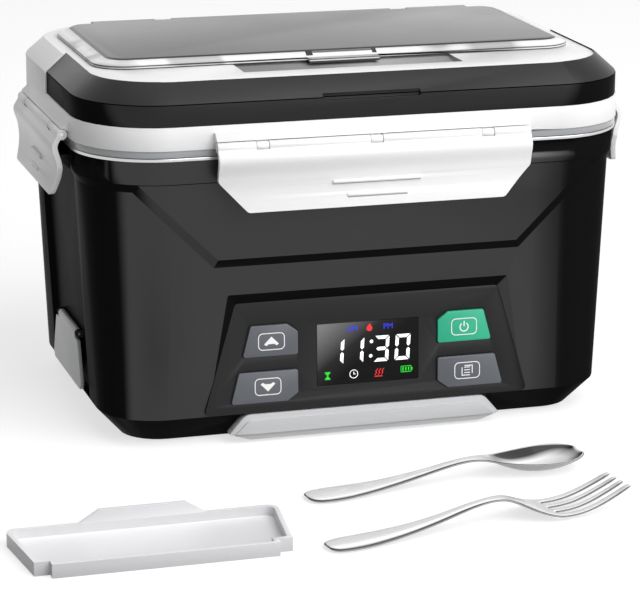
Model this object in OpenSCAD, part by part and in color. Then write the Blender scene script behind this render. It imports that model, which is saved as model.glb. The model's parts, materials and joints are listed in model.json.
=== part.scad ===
// Cordless electric lunch box: a heated body with a lift-off lid held by four clips,
// a smoked cover over a cutlery tray in the lid, and a steel food container inside.
// The container's divider and a spoon and fork lie in front of the box.
// The origin is on the table under the middle of the box, +Z up, the display faces -Y.

/* [Overall size] */
// Width of the lid band, left to right
lid_w = 240; // [228:1:256]
// Depth of the lid band, front to back
lid_d = 160; // [150:1:176]
// Corner radius of the lid band
lid_r = 36; // [30:1:42]
// Height of the body rim above the table
rim_h = 124; // [118:1:134]

/* [Body] */
// Height of the seam between the base tray and the outer shell
seam_h = 12.6; // [11.5:0.1:15]
// How far the shell's foot lies inside the lid band, left and right
foot_inset_x = 8.6; // [6:0.1:11]
// How far the shell's foot lies inside the lid band, front and back
foot_inset_y = 5.8; // [4.5:0.1:8]
// How far the shell's plain wall lies inside the lid band at the rim
rim_inset = 2.6; // [2:0.1:3.5]
// Corner radius of the shell at its foot
foot_r = 25; // [22:1:30]
// Wall thickness at the front and back
shell_wall = 2.6; // [2:0.1:3]
// Wall thickness at the two ends, which carry the end recesses
end_wall = 5.2; // [4.8:0.1:6]
// Height of the raised collar under the rim
collar_h = 9.7; // [8:0.1:13]
// How far the collar and the front shield stand out from the wall
collar_proud = 1.5; // [1:0.1:2]
// Height of the bevel under the collar and the front shield
collar_bevel = 3.6; // [2.5:0.1:5]
// Drop of the front shield's lower edge below the rim
shield_drop = 43; // [38:1:48]
// Half width of the front shield's lower edge
shield_half = 65.4; // [55:0.1:72]
// Half width of the flat recess on each end
recess_half = 33.7; // [32:0.1:37]
// Depth of the flat recess on each end
recess_depth = 2.3; // [1.5:0.1:2.6]

/* [Base] */
// How far the base chamfer runs in under the shell
base_chamfer = 10.4; // [8:0.1:12]
// Height of the rubber feet below the base tray
foot_h = 1; // [0.8:0.1:2]
// Radius of a rubber foot
foot_pad_r = 7; // [5:0.5:8]
// Thickness of the base tray
tray_wall = 2.4; // [2:0.1:3]
// Half width of the light front strip
strip_half = 56; // [50:0.5:62]
// Thickness of the light front strip, front to back
strip_t = 5; // [4:0.1:6]
// Shank radius of the base screws
screw_r = 1.45; // [1.2:0.05:1.6]

/* [Control panel] */
// Half width of the panel at its bottom edge
panel_half_low = 72; // [70:0.5:75]
// Half width of the panel at its top edge
panel_half_top = 58; // [55:0.5:62]
// Height of the panel along its face
panel_h = 47.6; // [46:0.1:50]
// Thickness of the panel plate
panel_t = 2.2; // [1.8:0.1:2.6]
// Backward lean of the panel in degrees
panel_lean = 2.4; // [1:0.1:3.5]
// Half width of the display window
display_half = 22.4; // [20:0.1:25]
// Height of the display window
display_h = 26.7; // [24:0.1:30]
// Distance of the keys' inner edges from the panel's middle
key_inner = 31; // [29:0.1:34]
// Height of one key
key_h = 13.4; // [12:0.1:14]
// How far a key stands out of the panel
key_proud = 0.9; // [0.8:0.1:1.2]
// How far a key travels when it is pressed
key_travel = 0.8; // [0.4:0.1:0.8]

/* [Food container] */
// Height of the container's floor above the table
container_floor_h = 66; // [64:1:72]
// Sheet thickness of the container
container_t = 0.8; // [0.6:0.1:1.2]
// Wall thickness of the plastic well round the container
well_t = 1.5; // [1.2:0.1:2]
// Height of the divider, across the food
divider_h = 42; // [36:1:46]
// Height of the rim round the divider
divider_rim = 5.5; // [4:0.1:7]

/* [Heating and power] */
// Thickness of the aluminium heating plate
plate_t = 3; // [2:0.1:3.3]
// Radius of one battery cell
cell_r = 9.2; // [9:0.1:10.6]
// Length of one battery cell
cell_l = 65; // [60:1:70]
// Half width of the charging inlet's recess
inlet_half = 11; // [9:0.5:12]
// Height of the charging inlet's recess
inlet_h = 10; // [8:0.5:11]

/* [Lid] */
// Height of the translucent inner lid's edge
inner_h = 2.9; // [2:0.1:4]
// Height of the white band
band_h = 9.6; // [9:0.1:12]
// Height of the bumper's upright tier
bumper_h = 9.3; // [7:0.1:12]
// Height of the bumper's sloping tier
slope_h = 7.2; // [5:0.1:9]
// How far the sloping tier runs in
slope_in = 9; // [8:0.1:10]
// Wall thickness of the lid moulding
lid_wall = 2.4; // [1.8:0.1:3]
// Half width of the cutlery tray in the lid
tray_half_w = 98; // [92:1:100]
// Depth of the cutlery tray, front to back
tray_d = 80; // [74:1:82]
// How far the cutlery tray and its cover sit behind the middle
tray_back = 11; // [9:0.5:12]

/* [Smoked cover] */
// Half width of the cover's rim
cover_half_w = 106; // [104:0.5:108]
// Height of the cover's upright rim
cover_rim_h = 1.5; // [1:0.1:2]
// Height of the whole cover above the deck
cover_h = 4; // [3.6:0.1:5]
// Thickness of the cover
cover_t = 1.6; // [1.2:0.1:1.8]
// Distance of the cover's hinges from the middle
cover_hinge_x = 55.5; // [40:0.5:75]
// Width of one cover hinge
cover_hinge_w = 7.6; // [6:0.1:10]

/* [Latches] */
// Half width of the front and back latches
long_half = 67.5; // [60:0.5:75]
// Half width of the latches at the ends
short_half = 42.6; // [38:0.1:44]
// Distance of a latch axis from the lid band at the ends
axis_out = 2.7; // [2.6:0.1:3.2]
// Extra distance of the front and back latch axes from the lid band
long_extra = 2; // [1:0.1:3]
// Height of a latch axis above the lower edge of the white band
axis_up = 1.3; // [0.6:0.1:1.6]
// Radius of a latch's hinge barrel
barrel_r = 2.2; // [2:0.1:2.3]
// Thickness of a latch
latch_t = 2.3; // [1.8:0.1:2.4]
// Radius of a latch pin
pin_r = 0.9; // [0.7:0.05:1]
// How far the hooks reach under the body's catches
hook_bite = 1.2; // [0.8:0.1:1.3]

/* [Fits] */
// Gap between fitted pieces
gap = 0.3; // [0.2:0.05:0.4]
// Radial gap round a turning pin
pin_gap = 0.07; // [0.04:0.01:0.09]

/* [Hidden] */
$fn = 48;
tiny = 0.01;

// Body outline at the seam and at the rim
foot_w = lid_w - 2 * foot_inset_x;
foot_d = lid_d - 2 * foot_inset_y;
top_w = lid_w - 2 * rim_inset;
top_d = lid_d - 2 * rim_inset;
top_r = lid_r - rim_inset;
wall_rise = rim_h - seam_h;
front_slope = (top_d - foot_d) / 2 / wall_rise;
end_slope = (top_w - foot_w) / 2 / wall_rise;
front_lean = atan(front_slope);
end_lean = atan(end_slope);
collar_low = rim_h - collar_h;
shield_low = rim_h - shield_drop;
shield_proud = collar_proud - 0.15;
shield_top = collar_low + 3;
// How deep the foot of a raised face starts inside the wall that carries it
root_sink = 0.4;
cavity_foot_w = foot_w - 2 * end_wall;
cavity_foot_d = foot_d - 2 * shell_wall;
cavity_top_w = top_w - 2 * end_wall;
cavity_top_d = top_d - 2 * shell_wall;

// Base tray
base_w = foot_w - 2 * base_chamfer;
base_d = foot_d - 2 * base_chamfer;
base_r = foot_r - 8;
floor_h = foot_h + tray_wall;
pad_x = base_w / 2 - 21;
pad_y = base_d / 2 - 19;
pad_seat = 0.8;
post_r = 5;
post_x = base_w / 2 - 9;
post_y = base_d / 2 - 9;
rib_t = 2.4;
rib_l = 13.4;
post_top = 42;
boss_top = 8;
screw_head_r = 2.8;
screw_head_h = 2.1;
screw_seat_h = foot_h + 3;
strip_low = 4.2;
strip_high = seam_h - gap;
strip_face_y = -foot_d / 2 - 1;
strip_back_y = strip_face_y + strip_t;
strip_run = 0.5;
strip_round = 5.5;
strip_step = 2.6;

// Control panel, in its own plane: x to the right, y up the face, z outwards
panel_shift = 0.8;
panel_base_h = 13;
panel_face_y = -foot_d / 2 - 1.1;
panel_bevel_side = 3.5;
panel_bevel_top = 4.5;
panel_ledge = 2.5;
panel_fit = 0.15;
seat_deep = panel_t + 2;
display_low = 9.3;
lens_t = 1.4;
board_t = 1.6;
board_half = panel_half_top + 4;
board_deep = 7.9;
key_low = 4.3;
key_high = 24.2;
key_flange = 1;
key_back = -panel_t - key_flange - gap;
key_edge_top = 61.5;
key_edge_slope = 0.264;
key_corner_x = 4.6;
key_corner_y = 3.4;
switch_gap = 0.1;
switch_top = key_back - key_travel - switch_gap;

// Food container and its well
flange_t = 1.3;
flange_top = rim_h + flange_t;
well_gap = 0.6;
ledge_h = 2;
well_flange_t = 2.5;
well_top_w = cavity_top_w - 7.6;
well_top_d = cavity_top_d - 34;
well_top_r = 28;
well_low_w = well_top_w - 9;
well_low_d = well_top_d - 9;
well_low_r = 23;
well_floor_top = container_floor_h - 0.2 - plate_t;
well_low = well_floor_top - 2;
plate_w = 180;
plate_d = 92;
plate_r = 18;
plate_rest = 6;
bowl_step = 2 * (well_t + well_gap);
bowl_top_w = well_top_w - bowl_step;
bowl_top_d = well_top_d - bowl_step;
bowl_low_w = well_low_w - bowl_step;
bowl_low_d = well_low_d - bowl_step;
bowl_top_r = well_top_r - well_t - well_gap;
bowl_low_r = well_low_r - well_t - well_gap;
plug_drop = 6;
divider_t = 1.8;
divider_wall = 1.7;
divider_half_low = bowl_low_d / 2 - container_t - 0.8;
divider_half_top = bowl_top_d / 2 - container_t - 1.4;
divider_ear = 6;
divider_notch = 4;
divider_tab = 10.4;
divider_tab_half = 25;
divider_place = [-119.5, -209, 0];

// Heating and power
element_h = 5;
element_d = 16;
element_w = 130;
thermostat_r = 8;
shield_h = well_low - 10;
shield_t = 1;
holder_y = 8;
cell_pitch = 2 * cell_r + 1.6;
cell_gap = 4;
cell_h = floor_h + 1.5 + cell_r;
holder_w = 2 * cell_l + 3 * cell_gap;
holder_d = 3 * cell_pitch + 3;
holder_h = 8.6;
holder_post_r = 3;
power_h = cell_h + cell_r + 5;
inlet_z = 25;
inlet_wall = 1.8;
inlet_deep = 12;
inlet_pin_r = 1.2;
inlet_pin_y = 5;
inlet_pin_l = 9;
inlet_face_x = -(foot_w / 2 + (inlet_z - seam_h) * end_slope - recess_depth);
inlet_back_x = inlet_face_x + inlet_deep + 4;

// Charging port cover, hinged along its top edge
port_t = 1.6;
port_axis_x = inlet_face_x - 2.4;
port_axis_z = 36.9;
port_low = 14;
port_half_low = 29.5;
port_half_top = 21;
port_barrel_half = 17;
port_ear_w = 2.5;
port_barrel_r = 1.6;
port_pin_r = 0.6;

// Lid levels
inner_low = flange_top + gap;
band_low = inner_low + inner_h;
band_top = band_low + band_h;
ridge_h = band_top + bumper_h;
deck_h = ridge_h + slope_h;
lip_h = 0.8;
bumper_inset = 0.6;
core_w = lid_w - 2 * slope_in - 1;
core_d = lid_d - 2 * slope_in - 1;
core_r = lid_r - slope_in + 1.5;
bridge_y = 5;
deck_t = 3;
tray_floor_top = band_low + 3.2;
tray_floor_t = 1.8;
tray_wall_t = 2;
tray_r = 12;
scoop_half = 48;
scoop_deep = 2;
scoop_d = 21;
scoop_y = tray_back - tray_d / 2 - 15.5;
scoop_r = (scoop_d * scoop_d / 4 + scoop_deep * scoop_deep) / (2 * scoop_deep);
slot_half = 21;
slot_h = 2.6;
seal_w = 4;
seal_groove = 1;
seal_inset = 14.6;

// Smoked cover
cover_low = deck_h + 0.1;
cover_top = deck_h + cover_h;
cover_barrel_r = cover_h / 2 - 0.05;
cover_axis_z = cover_low + cover_barrel_r;
cover_axis_y = tray_back + tray_d / 2 + 7;
cover_front_y = tray_back - tray_d / 2 - 8.5;
cover_back_half = 88;
cover_bevel_x = 7;
cover_bevel_y = 4.5;
cover_r = 14;
cover_top_r = 7;
cover_pin_r = 0.9;
cover_pin_l = cover_hinge_w + 9;
catch_half = 15.5;

// Latches, measured from the latch axis: y outwards, z up
axis_z = band_low + axis_up;
long_reach = lid_d / 2 + axis_out + long_extra;
short_reach = lid_w / 2 + axis_out;
latch_shoulder = -14;
latch_tip = -26.7;
catch_tip_y = -axis_out + 0.4;
catch_tip_z = -14.8;
catch_top_z = -12;
catch_angle = 40;
catch_gap = 0.35;
long_catch_half = 50;
short_catch_half = 26;
lug_w = 5;
roof_top = 5.6;
roof_tip_y = 0.6;
roof_tip_z = 2.5;
rib_r = 0.75;
// Outer face of a latch, from the barrel down to the tip
latch_curve = [[1.2, 3.5], [2.1, -0.6], [4.3, -5.2], [2.5, -12.2], [2.5, -18.6], [4.6, latch_tip], [7, -34]];

// Cutlery on the table, measured from the handle's end: x to the tip, z up
cutlery_t = 1.9;
spoon_place = [-49.2, -151.6, 0];
spoon_turn = 5.7;
spoon_line = [[-12, 1.2], [0, 0.05], [22, 0.4], [46, 3.2], [64, 6.6], [74, 7.4], [82, 6.2], [90, 4]];
spoon_half = [[-3, 0], [0, 2.6], [3, 5], [9, 6.2], [20, 5.8], [42, 3.6], [62, 2.5], [74, 2.8],
  [83, 5], [90, 6]];
spoon_bowl_x = 98.7;
// Levels of the spoon's bowl: half breadth, half length and height
bowl_outside = [[3.4, 4, 0], [8.3, 8, 1.3], [11.2, 9.8, 3.9], [12.3, 10.8, 7]];
bowl_inside = [[2.4, 4, 1.5], [7.1, 8, 2.8], [10.1, 9.8, 5], [11.2, 10.8, 7.1]];
fork_l = 129;
fork_place = [-57.6, -208.6, 0];
fork_turn = 9.5;
fork_line = [[-12, 1.2], [0, 0.05], [24, 0.6], [48, 4], [65, 8], [75, 8.4], [84, 5.2], [95, 1.4], [107, 1.3],
  [119, 4.2], [fork_l + 1, 8.6], [141, 14]];
fork_half = [[-3, 0], [0, 2.6], [3, 5], [9, 6.2], [20, 5.8], [42, 3.6], [62, 2.5], [75, 2.7], [83, 5],
  [90, 9.6], [97, 10.9], [114, 10.5], [fork_l, 9.6], [144, 9]];
tine_root = 97;
tine_pitch = 5.8;
tine_slot = 2.7;

// ---- helper shapes ----

module rounded(w, d, r) {
  square([w - 2 * r, d], center = true);
  square([w, d - 2 * r], center = true);
  for (sx = [-1, 1], sy = [-1, 1])
    translate([sx * (w / 2 - r), sy * (d / 2 - r)]) circle(r);
}

module slab(w, d, r, low, high) {
  translate([0, 0, low]) linear_extrude(high - low) rounded(w, d, r);
}

module tapered(low_size, low, high_size, high) {
  hull() {
    slab(low_size[0], low_size[1], low_size[2], low, low + tiny, $fn = 32);
    slab(high_size[0], high_size[1], high_size[2], high - tiny, high, $fn = 32);
  }
}

module box(low, high) {
  translate(low) cube([high[0] - low[0], high[1] - low[1], high[2] - low[2]]);
}

module four(x, y) {
  for (sx = [-1, 1], sy = [-1, 1]) translate([sx * x, sy * y, 0]) children();
}

// Outline drawn in the Y-Z plane and extruded along X about the middle
module along_x(length) {
  rotate([90, 0, 90]) translate([0, 0, -length / 2]) linear_extrude(length) children();
}

module rod_x(r, length) {
  rotate([0, 90, 0]) cylinder(r = r, h = length, center = true);
}

module rod_y(r, length) {
  rotate([90, 0, 0]) cylinder(r = r, h = length, center = true);
}

// Catmull-Rom point between p[i] and p[i + 1]
function blend(p, i, t) = 0.5 * ((2 * p[i])
  + (p[i + 1] - p[i - 1]) * t
  + (2 * p[i - 1] - 5 * p[i] + 4 * p[i + 1] - p[i + 2]) * t * t
  + (3 * p[i] - p[i - 1] - 3 * p[i + 1] + p[i + 2]) * t * t * t);
function smooth_line(p, steps) = [
  for (i = [1 : len(p) - 3]) for (s = [0 : steps - 1]) blend(p, i, s / steps),
  p[len(p) - 2]];

// ---- outer shell ----

module plain_wall() {
  tapered([foot_w, foot_d, foot_r], seam_h, [top_w, top_d, top_r], rim_h);
}

module shell_cavity() {
  tapered([cavity_foot_w, cavity_foot_d, foot_r - shell_wall], seam_h - tiny,
    [cavity_top_w, cavity_top_d, top_r - shell_wall - 1], rim_h + tiny);
}

function wall_size(z, proud) = [
  foot_w + 2 * (z - seam_h) * end_slope + 2 * proud,
  foot_d + 2 * (z - seam_h) * front_slope + 2 * proud,
  foot_r + (z - seam_h) / wall_rise * (top_r - foot_r) + proud];

module collar_ring(z, proud) {
  size = wall_size(z, proud);
  slab(size[0], size[1], size[2], z - tiny, z, $fn = 32);
}

module collar() {
  hull() {
    collar_ring(collar_low - collar_bevel * (1 + root_sink / collar_proud), -root_sink);
    collar_ring(collar_low, collar_proud);
  }
  hull() {
    collar_ring(collar_low, collar_proud);
    collar_ring(rim_h, collar_proud);
  }
}

// Raised shield under the front latch: a level edge between two 45 degree edges
function shield_outline(grow) = [
  [shield_half + grow * tan(22.5), shield_low - seam_h - grow],
  [shield_half + collar_low - shield_low + grow * sqrt(2), collar_low - seam_h],
  [shield_half + collar_low - shield_low + grow * sqrt(2), shield_top - seam_h],
  [-shield_half - collar_low + shield_low - grow * sqrt(2), shield_top - seam_h],
  [-shield_half - collar_low + shield_low - grow * sqrt(2), collar_low - seam_h],
  [-shield_half - grow * tan(22.5), shield_low - seam_h - grow]];

// Slice of the body, standing out from the plain wall, within the shield's outline
module shield_layer(proud, grow) {
  intersection() {
    translate([0, -foot_d / 2, seam_h]) rotate([90 + front_lean, 0, 0])
      translate([0, 0, -2 * foot_r])
        linear_extrude(2 * foot_r + 2 * collar_proud) polygon(shield_outline(grow));
    hull() {
      collar_ring(seam_h + 5, proud);
      collar_ring(rim_h - 1.7, proud);
    }
  }
}

module front_shield() {
  hull() {
    shield_layer(-root_sink, collar_bevel * (1 + root_sink / shield_proud));
    shield_layer(shield_proud, 0);
  }
}

// Flat recess with bevelled edges, cut to the wall's own lean
module end_recess(side) {
  reach = collar_proud + recess_depth + 4;
  translate([side * (foot_w / 2 - recess_depth), 0, seam_h]) rotate([0, side * end_lean, 0]) hull() {
    box([-tiny, -recess_half, -seam_h], [tiny, recess_half, rim_h]);
    translate([side * reach, 0, 0])
      box([-tiny, -recess_half - reach, -seam_h], [tiny, recess_half + reach, rim_h]);
  }
}

module on_panel() {
  translate([panel_shift, panel_face_y, panel_base_h]) rotate([90 - panel_lean, 0, 0]) children();
}

module panel_outline(grow) {
  offset(r = 2 + grow) offset(delta = -2)
    polygon([[-panel_half_low, 0], [panel_half_low, 0],
      [panel_half_top, panel_h], [-panel_half_top, panel_h]]);
}

// Funnel cut round the panel, wider at the outside
module panel_funnel() {
  on_panel() hull() {
    linear_extrude(tiny) panel_outline(panel_fit);
    translate([0, 0, 5]) linear_extrude(tiny)
      polygon([[-panel_half_low - 2.5 * panel_bevel_side, -panel_fit],
        [panel_half_low + 2.5 * panel_bevel_side, -panel_fit],
        [panel_half_top + 2 * panel_bevel_side, panel_h + 1.9 * panel_bevel_top],
        [-panel_half_top - 2 * panel_bevel_side, panel_h + 1.9 * panel_bevel_top]]);
  }
}

module catch_bar(half, reach, wall_y) {
  root = wall_y - reach;
  translate([0, reach, axis_z]) along_x(2 * half)
    polygon([[root, catch_top_z], [catch_tip_y - 0.8, catch_top_z],
      [catch_tip_y, catch_top_z - 0.8], [catch_tip_y, catch_tip_z],
      [root, catch_tip_z - (catch_tip_y - root) * tan(catch_angle)]]);
}

module shell_catches() {
  catch_rise = axis_z + catch_tip_z - seam_h;
  for (a = [0, 180]) rotate([0, 0, a])
    catch_bar(long_catch_half, long_reach, foot_d / 2 + catch_rise * front_slope - 1);
  for (a = [90, -90]) rotate([0, 0, a])
    catch_bar(short_catch_half, short_reach, foot_w / 2 + catch_rise * end_slope - recess_depth - 1);
}

module port_ears() {
  for (s = [-1, 1]) translate([0, s * (port_barrel_half + gap + port_ear_w / 2), 0]) {
    translate([port_axis_x, 0, port_axis_z]) rod_y(port_barrel_r, port_ear_w);
    box([port_axis_x, -port_ear_w / 2, port_axis_z - port_barrel_r],
      [inlet_face_x + 1.6, port_ear_w / 2, port_axis_z + port_barrel_r]);
  }
}

// Ledge that the well hangs on
module well_ledge() {
  difference() {
    slab(cavity_top_w + 3, cavity_top_d + 2, top_r - shell_wall,
      rim_h - well_flange_t - ledge_h, rim_h - well_flange_t);
    slab(well_top_w + 2 * gap, well_top_d + 2 * gap, well_top_r + gap,
      rim_h - well_flange_t - ledge_h - 1, rim_h);
  }
}

// Seat behind the control panel
module panel_seat() {
  intersection() {
    on_panel() translate([0, 0, -seat_deep]) linear_extrude(seat_deep + 2) panel_outline(3.5);
    box([-foot_w / 2, -foot_d / 2 + 0.6, seam_h], [foot_w / 2, 0, rim_h - collar_h]);
  }
}

module inlet_window() {
  y = inlet_half + inlet_wall + gap;
  z = inlet_h / 2 + inlet_wall + gap;
  box([inlet_face_x - 2, -y, inlet_z - z], [inlet_face_x + 8, y, inlet_z + z]);
}

// Posts for the base screws, each carried by a rib from the nearest corner
module screw_posts() {
  for (sx = [-1, 1], sy = [-1, 1]) translate([sx * post_x, sy * post_y, boss_top + tiny]) {
    cylinder(r = post_r, h = post_top - boss_top);
    rotate([0, 0, atan2(sy, sx)]) translate([0, -rib_t / 2, seam_h - boss_top])
      cube([rib_l, rib_t, post_top - seam_h]);
  }
}

module shell_skin() {
  union() {
    difference() {
      union() {
        difference() {
          union() {
            plain_wall();
            collar();
            front_shield();
          }
          shell_cavity();
        }
        well_ledge();
        panel_seat();
      }
      panel_funnel();
      on_panel() translate([0, 0, -panel_t]) linear_extrude(panel_t + tiny) panel_outline(panel_fit);
      on_panel() translate([0, 0, -seat_deep - 1]) linear_extrude(seat_deep) panel_outline(-panel_ledge);
      for (side = [-1, 1]) end_recess(side);
      inlet_window();
    }
    shell_catches();
  }
}

module outer_shell() {
  color("#171717") difference() {
    union() {
      shell_skin();
      screw_posts();
      port_ears();
    }
    four(post_x, post_y) cylinder(r = screw_r + 0.05, h = 26);
    translate([port_axis_x, 0, port_axis_z]) rod_y(port_pin_r + pin_gap, 2 * port_barrel_half + 20);
  }
}

// ---- base ----

module base_solid() {
  tapered([base_w, base_d, base_r], foot_h, [foot_w, foot_d, foot_r], seam_h);
}

module base_tray() {
  color("#1b1b1c") difference() {
    union() {
      difference() {
        base_solid();
        tapered([base_w - 2 * tray_wall, base_d - 2 * tray_wall, base_r - tray_wall], floor_h,
          [foot_w - 2 * shell_wall, foot_d - 2 * shell_wall, foot_r - shell_wall], seam_h + tiny);
      }
      intersection() {
        base_solid();
        box([-foot_w / 3, strip_back_y, foot_h], [foot_w / 3, strip_back_y + 3, seam_h - gap]);
      }
      four(post_x, post_y) translate([0, 0, floor_h - 1]) cylinder(r = post_r, h = boss_top - floor_h + 1);
    }
    // Room for the front strip, open to the table
    translate([0, strip_back_y, 0]) rotate([90, 0, 0])
      linear_extrude(strip_t + 5) strip_outline(1, -1);
    four(pad_x, pad_y) cylinder(r = foot_pad_r + 0.05, h = foot_h + pad_seat);
    four(post_x, post_y) {
      cylinder(r = screw_head_r + gap, h = screw_seat_h);
      cylinder(r = screw_r + 0.2, h = boss_top + 1);
    }
  }
}

// Bar outline with slanted ends and round upper corners
module strip_outline(grow, low) {
  low_half = strip_half + strip_run * (strip_high - low) + grow;
  hull() for (side = [-1, 1]) {
    translate([side * (strip_half - strip_round), strip_high - strip_round])
      circle(strip_round + grow, $fn = 32);
    translate([side * (low_half - 0.5) - 0.5, low]) square([1, tiny]);
  }
}

module front_strip() {
  color("#c9cacc") {
    translate([0, strip_back_y, 0]) rotate([90, 0, 0])
      linear_extrude(strip_t) strip_outline(0, strip_low);
    translate([0, strip_face_y + tiny, 0]) rotate([90, 0, 0])
      linear_extrude(1) strip_outline(-strip_step, strip_low);
  }
}

module rubber_feet() {
  color("#262626") four(pad_x, pad_y) cylinder(r = foot_pad_r, h = foot_h + pad_seat);
}

module base_screws() {
  color("silver") four(post_x, post_y) difference() {
    union() {
      translate([0, 0, screw_seat_h - screw_head_h]) cylinder(r = screw_head_r, h = screw_head_h);
      translate([0, 0, screw_seat_h - tiny]) cylinder(r = screw_r, h = 16);
    }
    translate([0, 0, screw_seat_h - screw_head_h - tiny]) for (a = [0, 90]) rotate([0, 0, a])
      translate([-1.6, -0.35, 0]) cube([3.2, 0.7, 1.1]);
  }
}

// ---- control panel ----

// One key's outline; side -1 is left of the display and 1 right, row 1 is the upper row
module key_outline(side, row, grow) {
  low = row == 1 ? key_high : key_low;
  high = low + key_h;
  edge_low = key_edge_top - key_edge_slope * low;
  edge_high = key_edge_top - key_edge_slope * high;
  upper = [[key_inner, low], [edge_low, low], [edge_high, high],
    [key_inner + key_corner_x, high], [key_inner, high - key_corner_y]];
  lower = [[key_inner, low + key_corner_y], [key_inner + key_corner_x, low],
    [edge_low, low], [edge_high, high], [key_inner, high]];
  mirror([side == -1 ? 1 : 0, 0]) offset(r = 1 + grow, $fn = 24) offset(delta = -1)
    polygon(row == 1 ? upper : lower);
}

module display_outline(grow) {
  translate([-display_half - grow, display_low - grow])
    square([2 * (display_half + grow), display_h + 2 * grow]);
}

module control_panel() {
  color("#2c2c2e") on_panel() {
    difference() {
      translate([0, 0, -panel_t]) linear_extrude(panel_t) panel_outline(0);
      for (side = [-1, 1], row = [0, 1])
        translate([0, 0, -panel_t - 1]) linear_extrude(panel_t + 2) key_outline(side, row, 0.2);
      translate([0, 0, -panel_t - 1]) linear_extrude(panel_t + 2) display_outline(-1.2);
      translate([0, 0, -lens_t]) linear_extrude(lens_t + 1) display_outline(panel_fit);
    }
    for (x = [-26.7, 26.7]) translate([x - 1, panel_ledge + 1, -board_deep])
      cube([2, panel_h - 3 * panel_ledge, board_deep - panel_t + tiny]);
  }
}

module display_lens() {
  color("#0a0b0d") on_panel() translate([0, 0, -lens_t]) linear_extrude(lens_t) display_outline(0);
}

module display_module() {
  color("#3a3d42") on_panel() translate([0, 0, -board_deep])
    linear_extrude(board_deep - panel_t) display_outline(1.2);
}

module key(side, row) {
  on_panel() {
    translate([0, 0, key_back]) linear_extrude(key_flange) key_outline(side, row, 1);
    translate([0, 0, key_back]) linear_extrude(key_proud - key_back) key_outline(side, row, 0);
  }
}

module key_up() {
  color("#5f6368") key(-1, 1);
}

module key_down() {
  color("#5f6368") key(-1, 0);
}

module key_power() {
  color("#2aa57c") key(1, 1);
}

module key_menu() {
  color("#5f6368") key(1, 0);
}

module control_board() {
  color("#1f6b3a") on_panel() translate([-board_half, 2, -board_deep - board_t])
    cube([2 * board_half, panel_h - 7, board_t]);
}

module tact_switches() {
  color("#8a8d92") on_panel() for (sx = [-1, 1], y = [key_low + key_h / 2, key_high + key_h / 2]) {
    translate([sx * (key_inner + 12) - 3, y - 3, -board_deep]) cube([6, 6, 2.6]);
    translate([sx * (key_inner + 12), y, -board_deep]) cylinder(r = 1.7, h = board_deep + switch_top);
  }
}

// ---- well and heater ----

module well_liner() {
  color("#3b3b3d") difference() {
    union() {
      slab(cavity_top_w - 1.2, cavity_top_d - 1.2, top_r - shell_wall - 1.6, rim_h - well_flange_t, rim_h);
      tapered([well_low_w, well_low_d, well_low_r], well_low,
        [well_top_w, well_top_d, well_top_r], rim_h - 1);
    }
    tapered([well_low_w - 2 * well_t, well_low_d - 2 * well_t, well_low_r - well_t], well_floor_top,
      [well_top_w - 2 * well_t, well_top_d - 2 * well_t, well_top_r - well_t], rim_h + tiny);
    slab(plate_w - 2 * plate_rest, plate_d - 2 * plate_rest, plate_r - plate_rest, well_low - 1, rim_h);
  }
}

module heating_plate() {
  color("#b9bcc0") slab(plate_w, plate_d, plate_r, well_floor_top, well_floor_top + plate_t);
}

module heating_elements() {
  color("#d8c9a6") for (sy = [-1, 1]) translate([0, sy * 24, well_floor_top - element_h])
    translate([-element_w / 2, -element_d / 2, 0]) cube([element_w, element_d, element_h]);
}

module thermostat() {
  color("#a8a8a8") {
    translate([0, 0, well_floor_top - 6]) cylinder(r = thermostat_r, h = 6);
    for (s = [-1, 1]) box([s * 5 - 1.5, -0.4, well_floor_top - 9], [s * 5 + 1.5, 0.4, well_floor_top - 5.9]);
  }
}

module heat_shield() {
  color("#c4c6c8") {
    slab(plate_w + 10, plate_d + 12, plate_r, shield_h, shield_h + shield_t);
    four(plate_w / 2 - 1, plate_d / 2 + 2) translate([0, 0, shield_h])
      cylinder(r = 2.5, h = well_low - shield_h);
  }
}

// ---- battery and power ----

function cell_centres() = [
  for (sx = [-1, 1], row = [-1 : 1]) [sx * (cell_l + cell_gap) / 2, holder_y + row * cell_pitch, cell_h]];

module holder_posts() {
  for (sx = [-1, 1], sy = [-1, 1])
    translate([sx * (holder_w / 2 + 2), holder_y + sy * (holder_d / 2 - 4), floor_h])
      cylinder(r = holder_post_r, h = power_h - floor_h);
}

module battery_holder() {
  color("#2f3136") {
    difference() {
      box([-holder_w / 2, holder_y - holder_d / 2, floor_h],
        [holder_w / 2, holder_y + holder_d / 2, floor_h + holder_h]);
      for (c = cell_centres()) translate(c) rod_x(cell_r + 0.15, cell_l + 0.6);
    }
    difference() {
      holder_posts();
      box([-holder_w / 2 + tiny, -lid_d, 0], [holder_w / 2 - tiny, lid_d, rim_h]);
    }
  }
}

module battery_cells() {
  color("#3f7fc1") for (c = cell_centres()) translate(c) {
    rod_x(cell_r, cell_l - 1);
    translate([cell_l / 2 - 0.6, 0, 0]) rod_x(2.6, 1.2);
  }
}

module power_board() {
  color("#1f6b3a") difference() {
    box([-holder_w / 2 - 6, holder_y - holder_d / 2 - 1, power_h],
      [holder_w / 2 + 6, holder_y + holder_d / 2 + 1, power_h + board_t]);
    translate([0, holder_y, power_h - 1]) cylinder(r = 4, h = board_t + 2);
  }
}

module power_parts() {
  top = power_h + board_t;
  color("#55585c") {
    translate([-38, holder_y + 8, top]) cylinder(r = 8, h = 8);
    translate([-38, holder_y - 16, top]) cylinder(r = 5, h = 11);
    translate([-22, holder_y - 16, top]) cylinder(r = 5, h = 11);
    box([14, holder_y - 12, top], [34, holder_y + 10, top + 9]);
    box([44, holder_y - 20, top], [60, holder_y + 20, top + 4]);
  }
}

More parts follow.
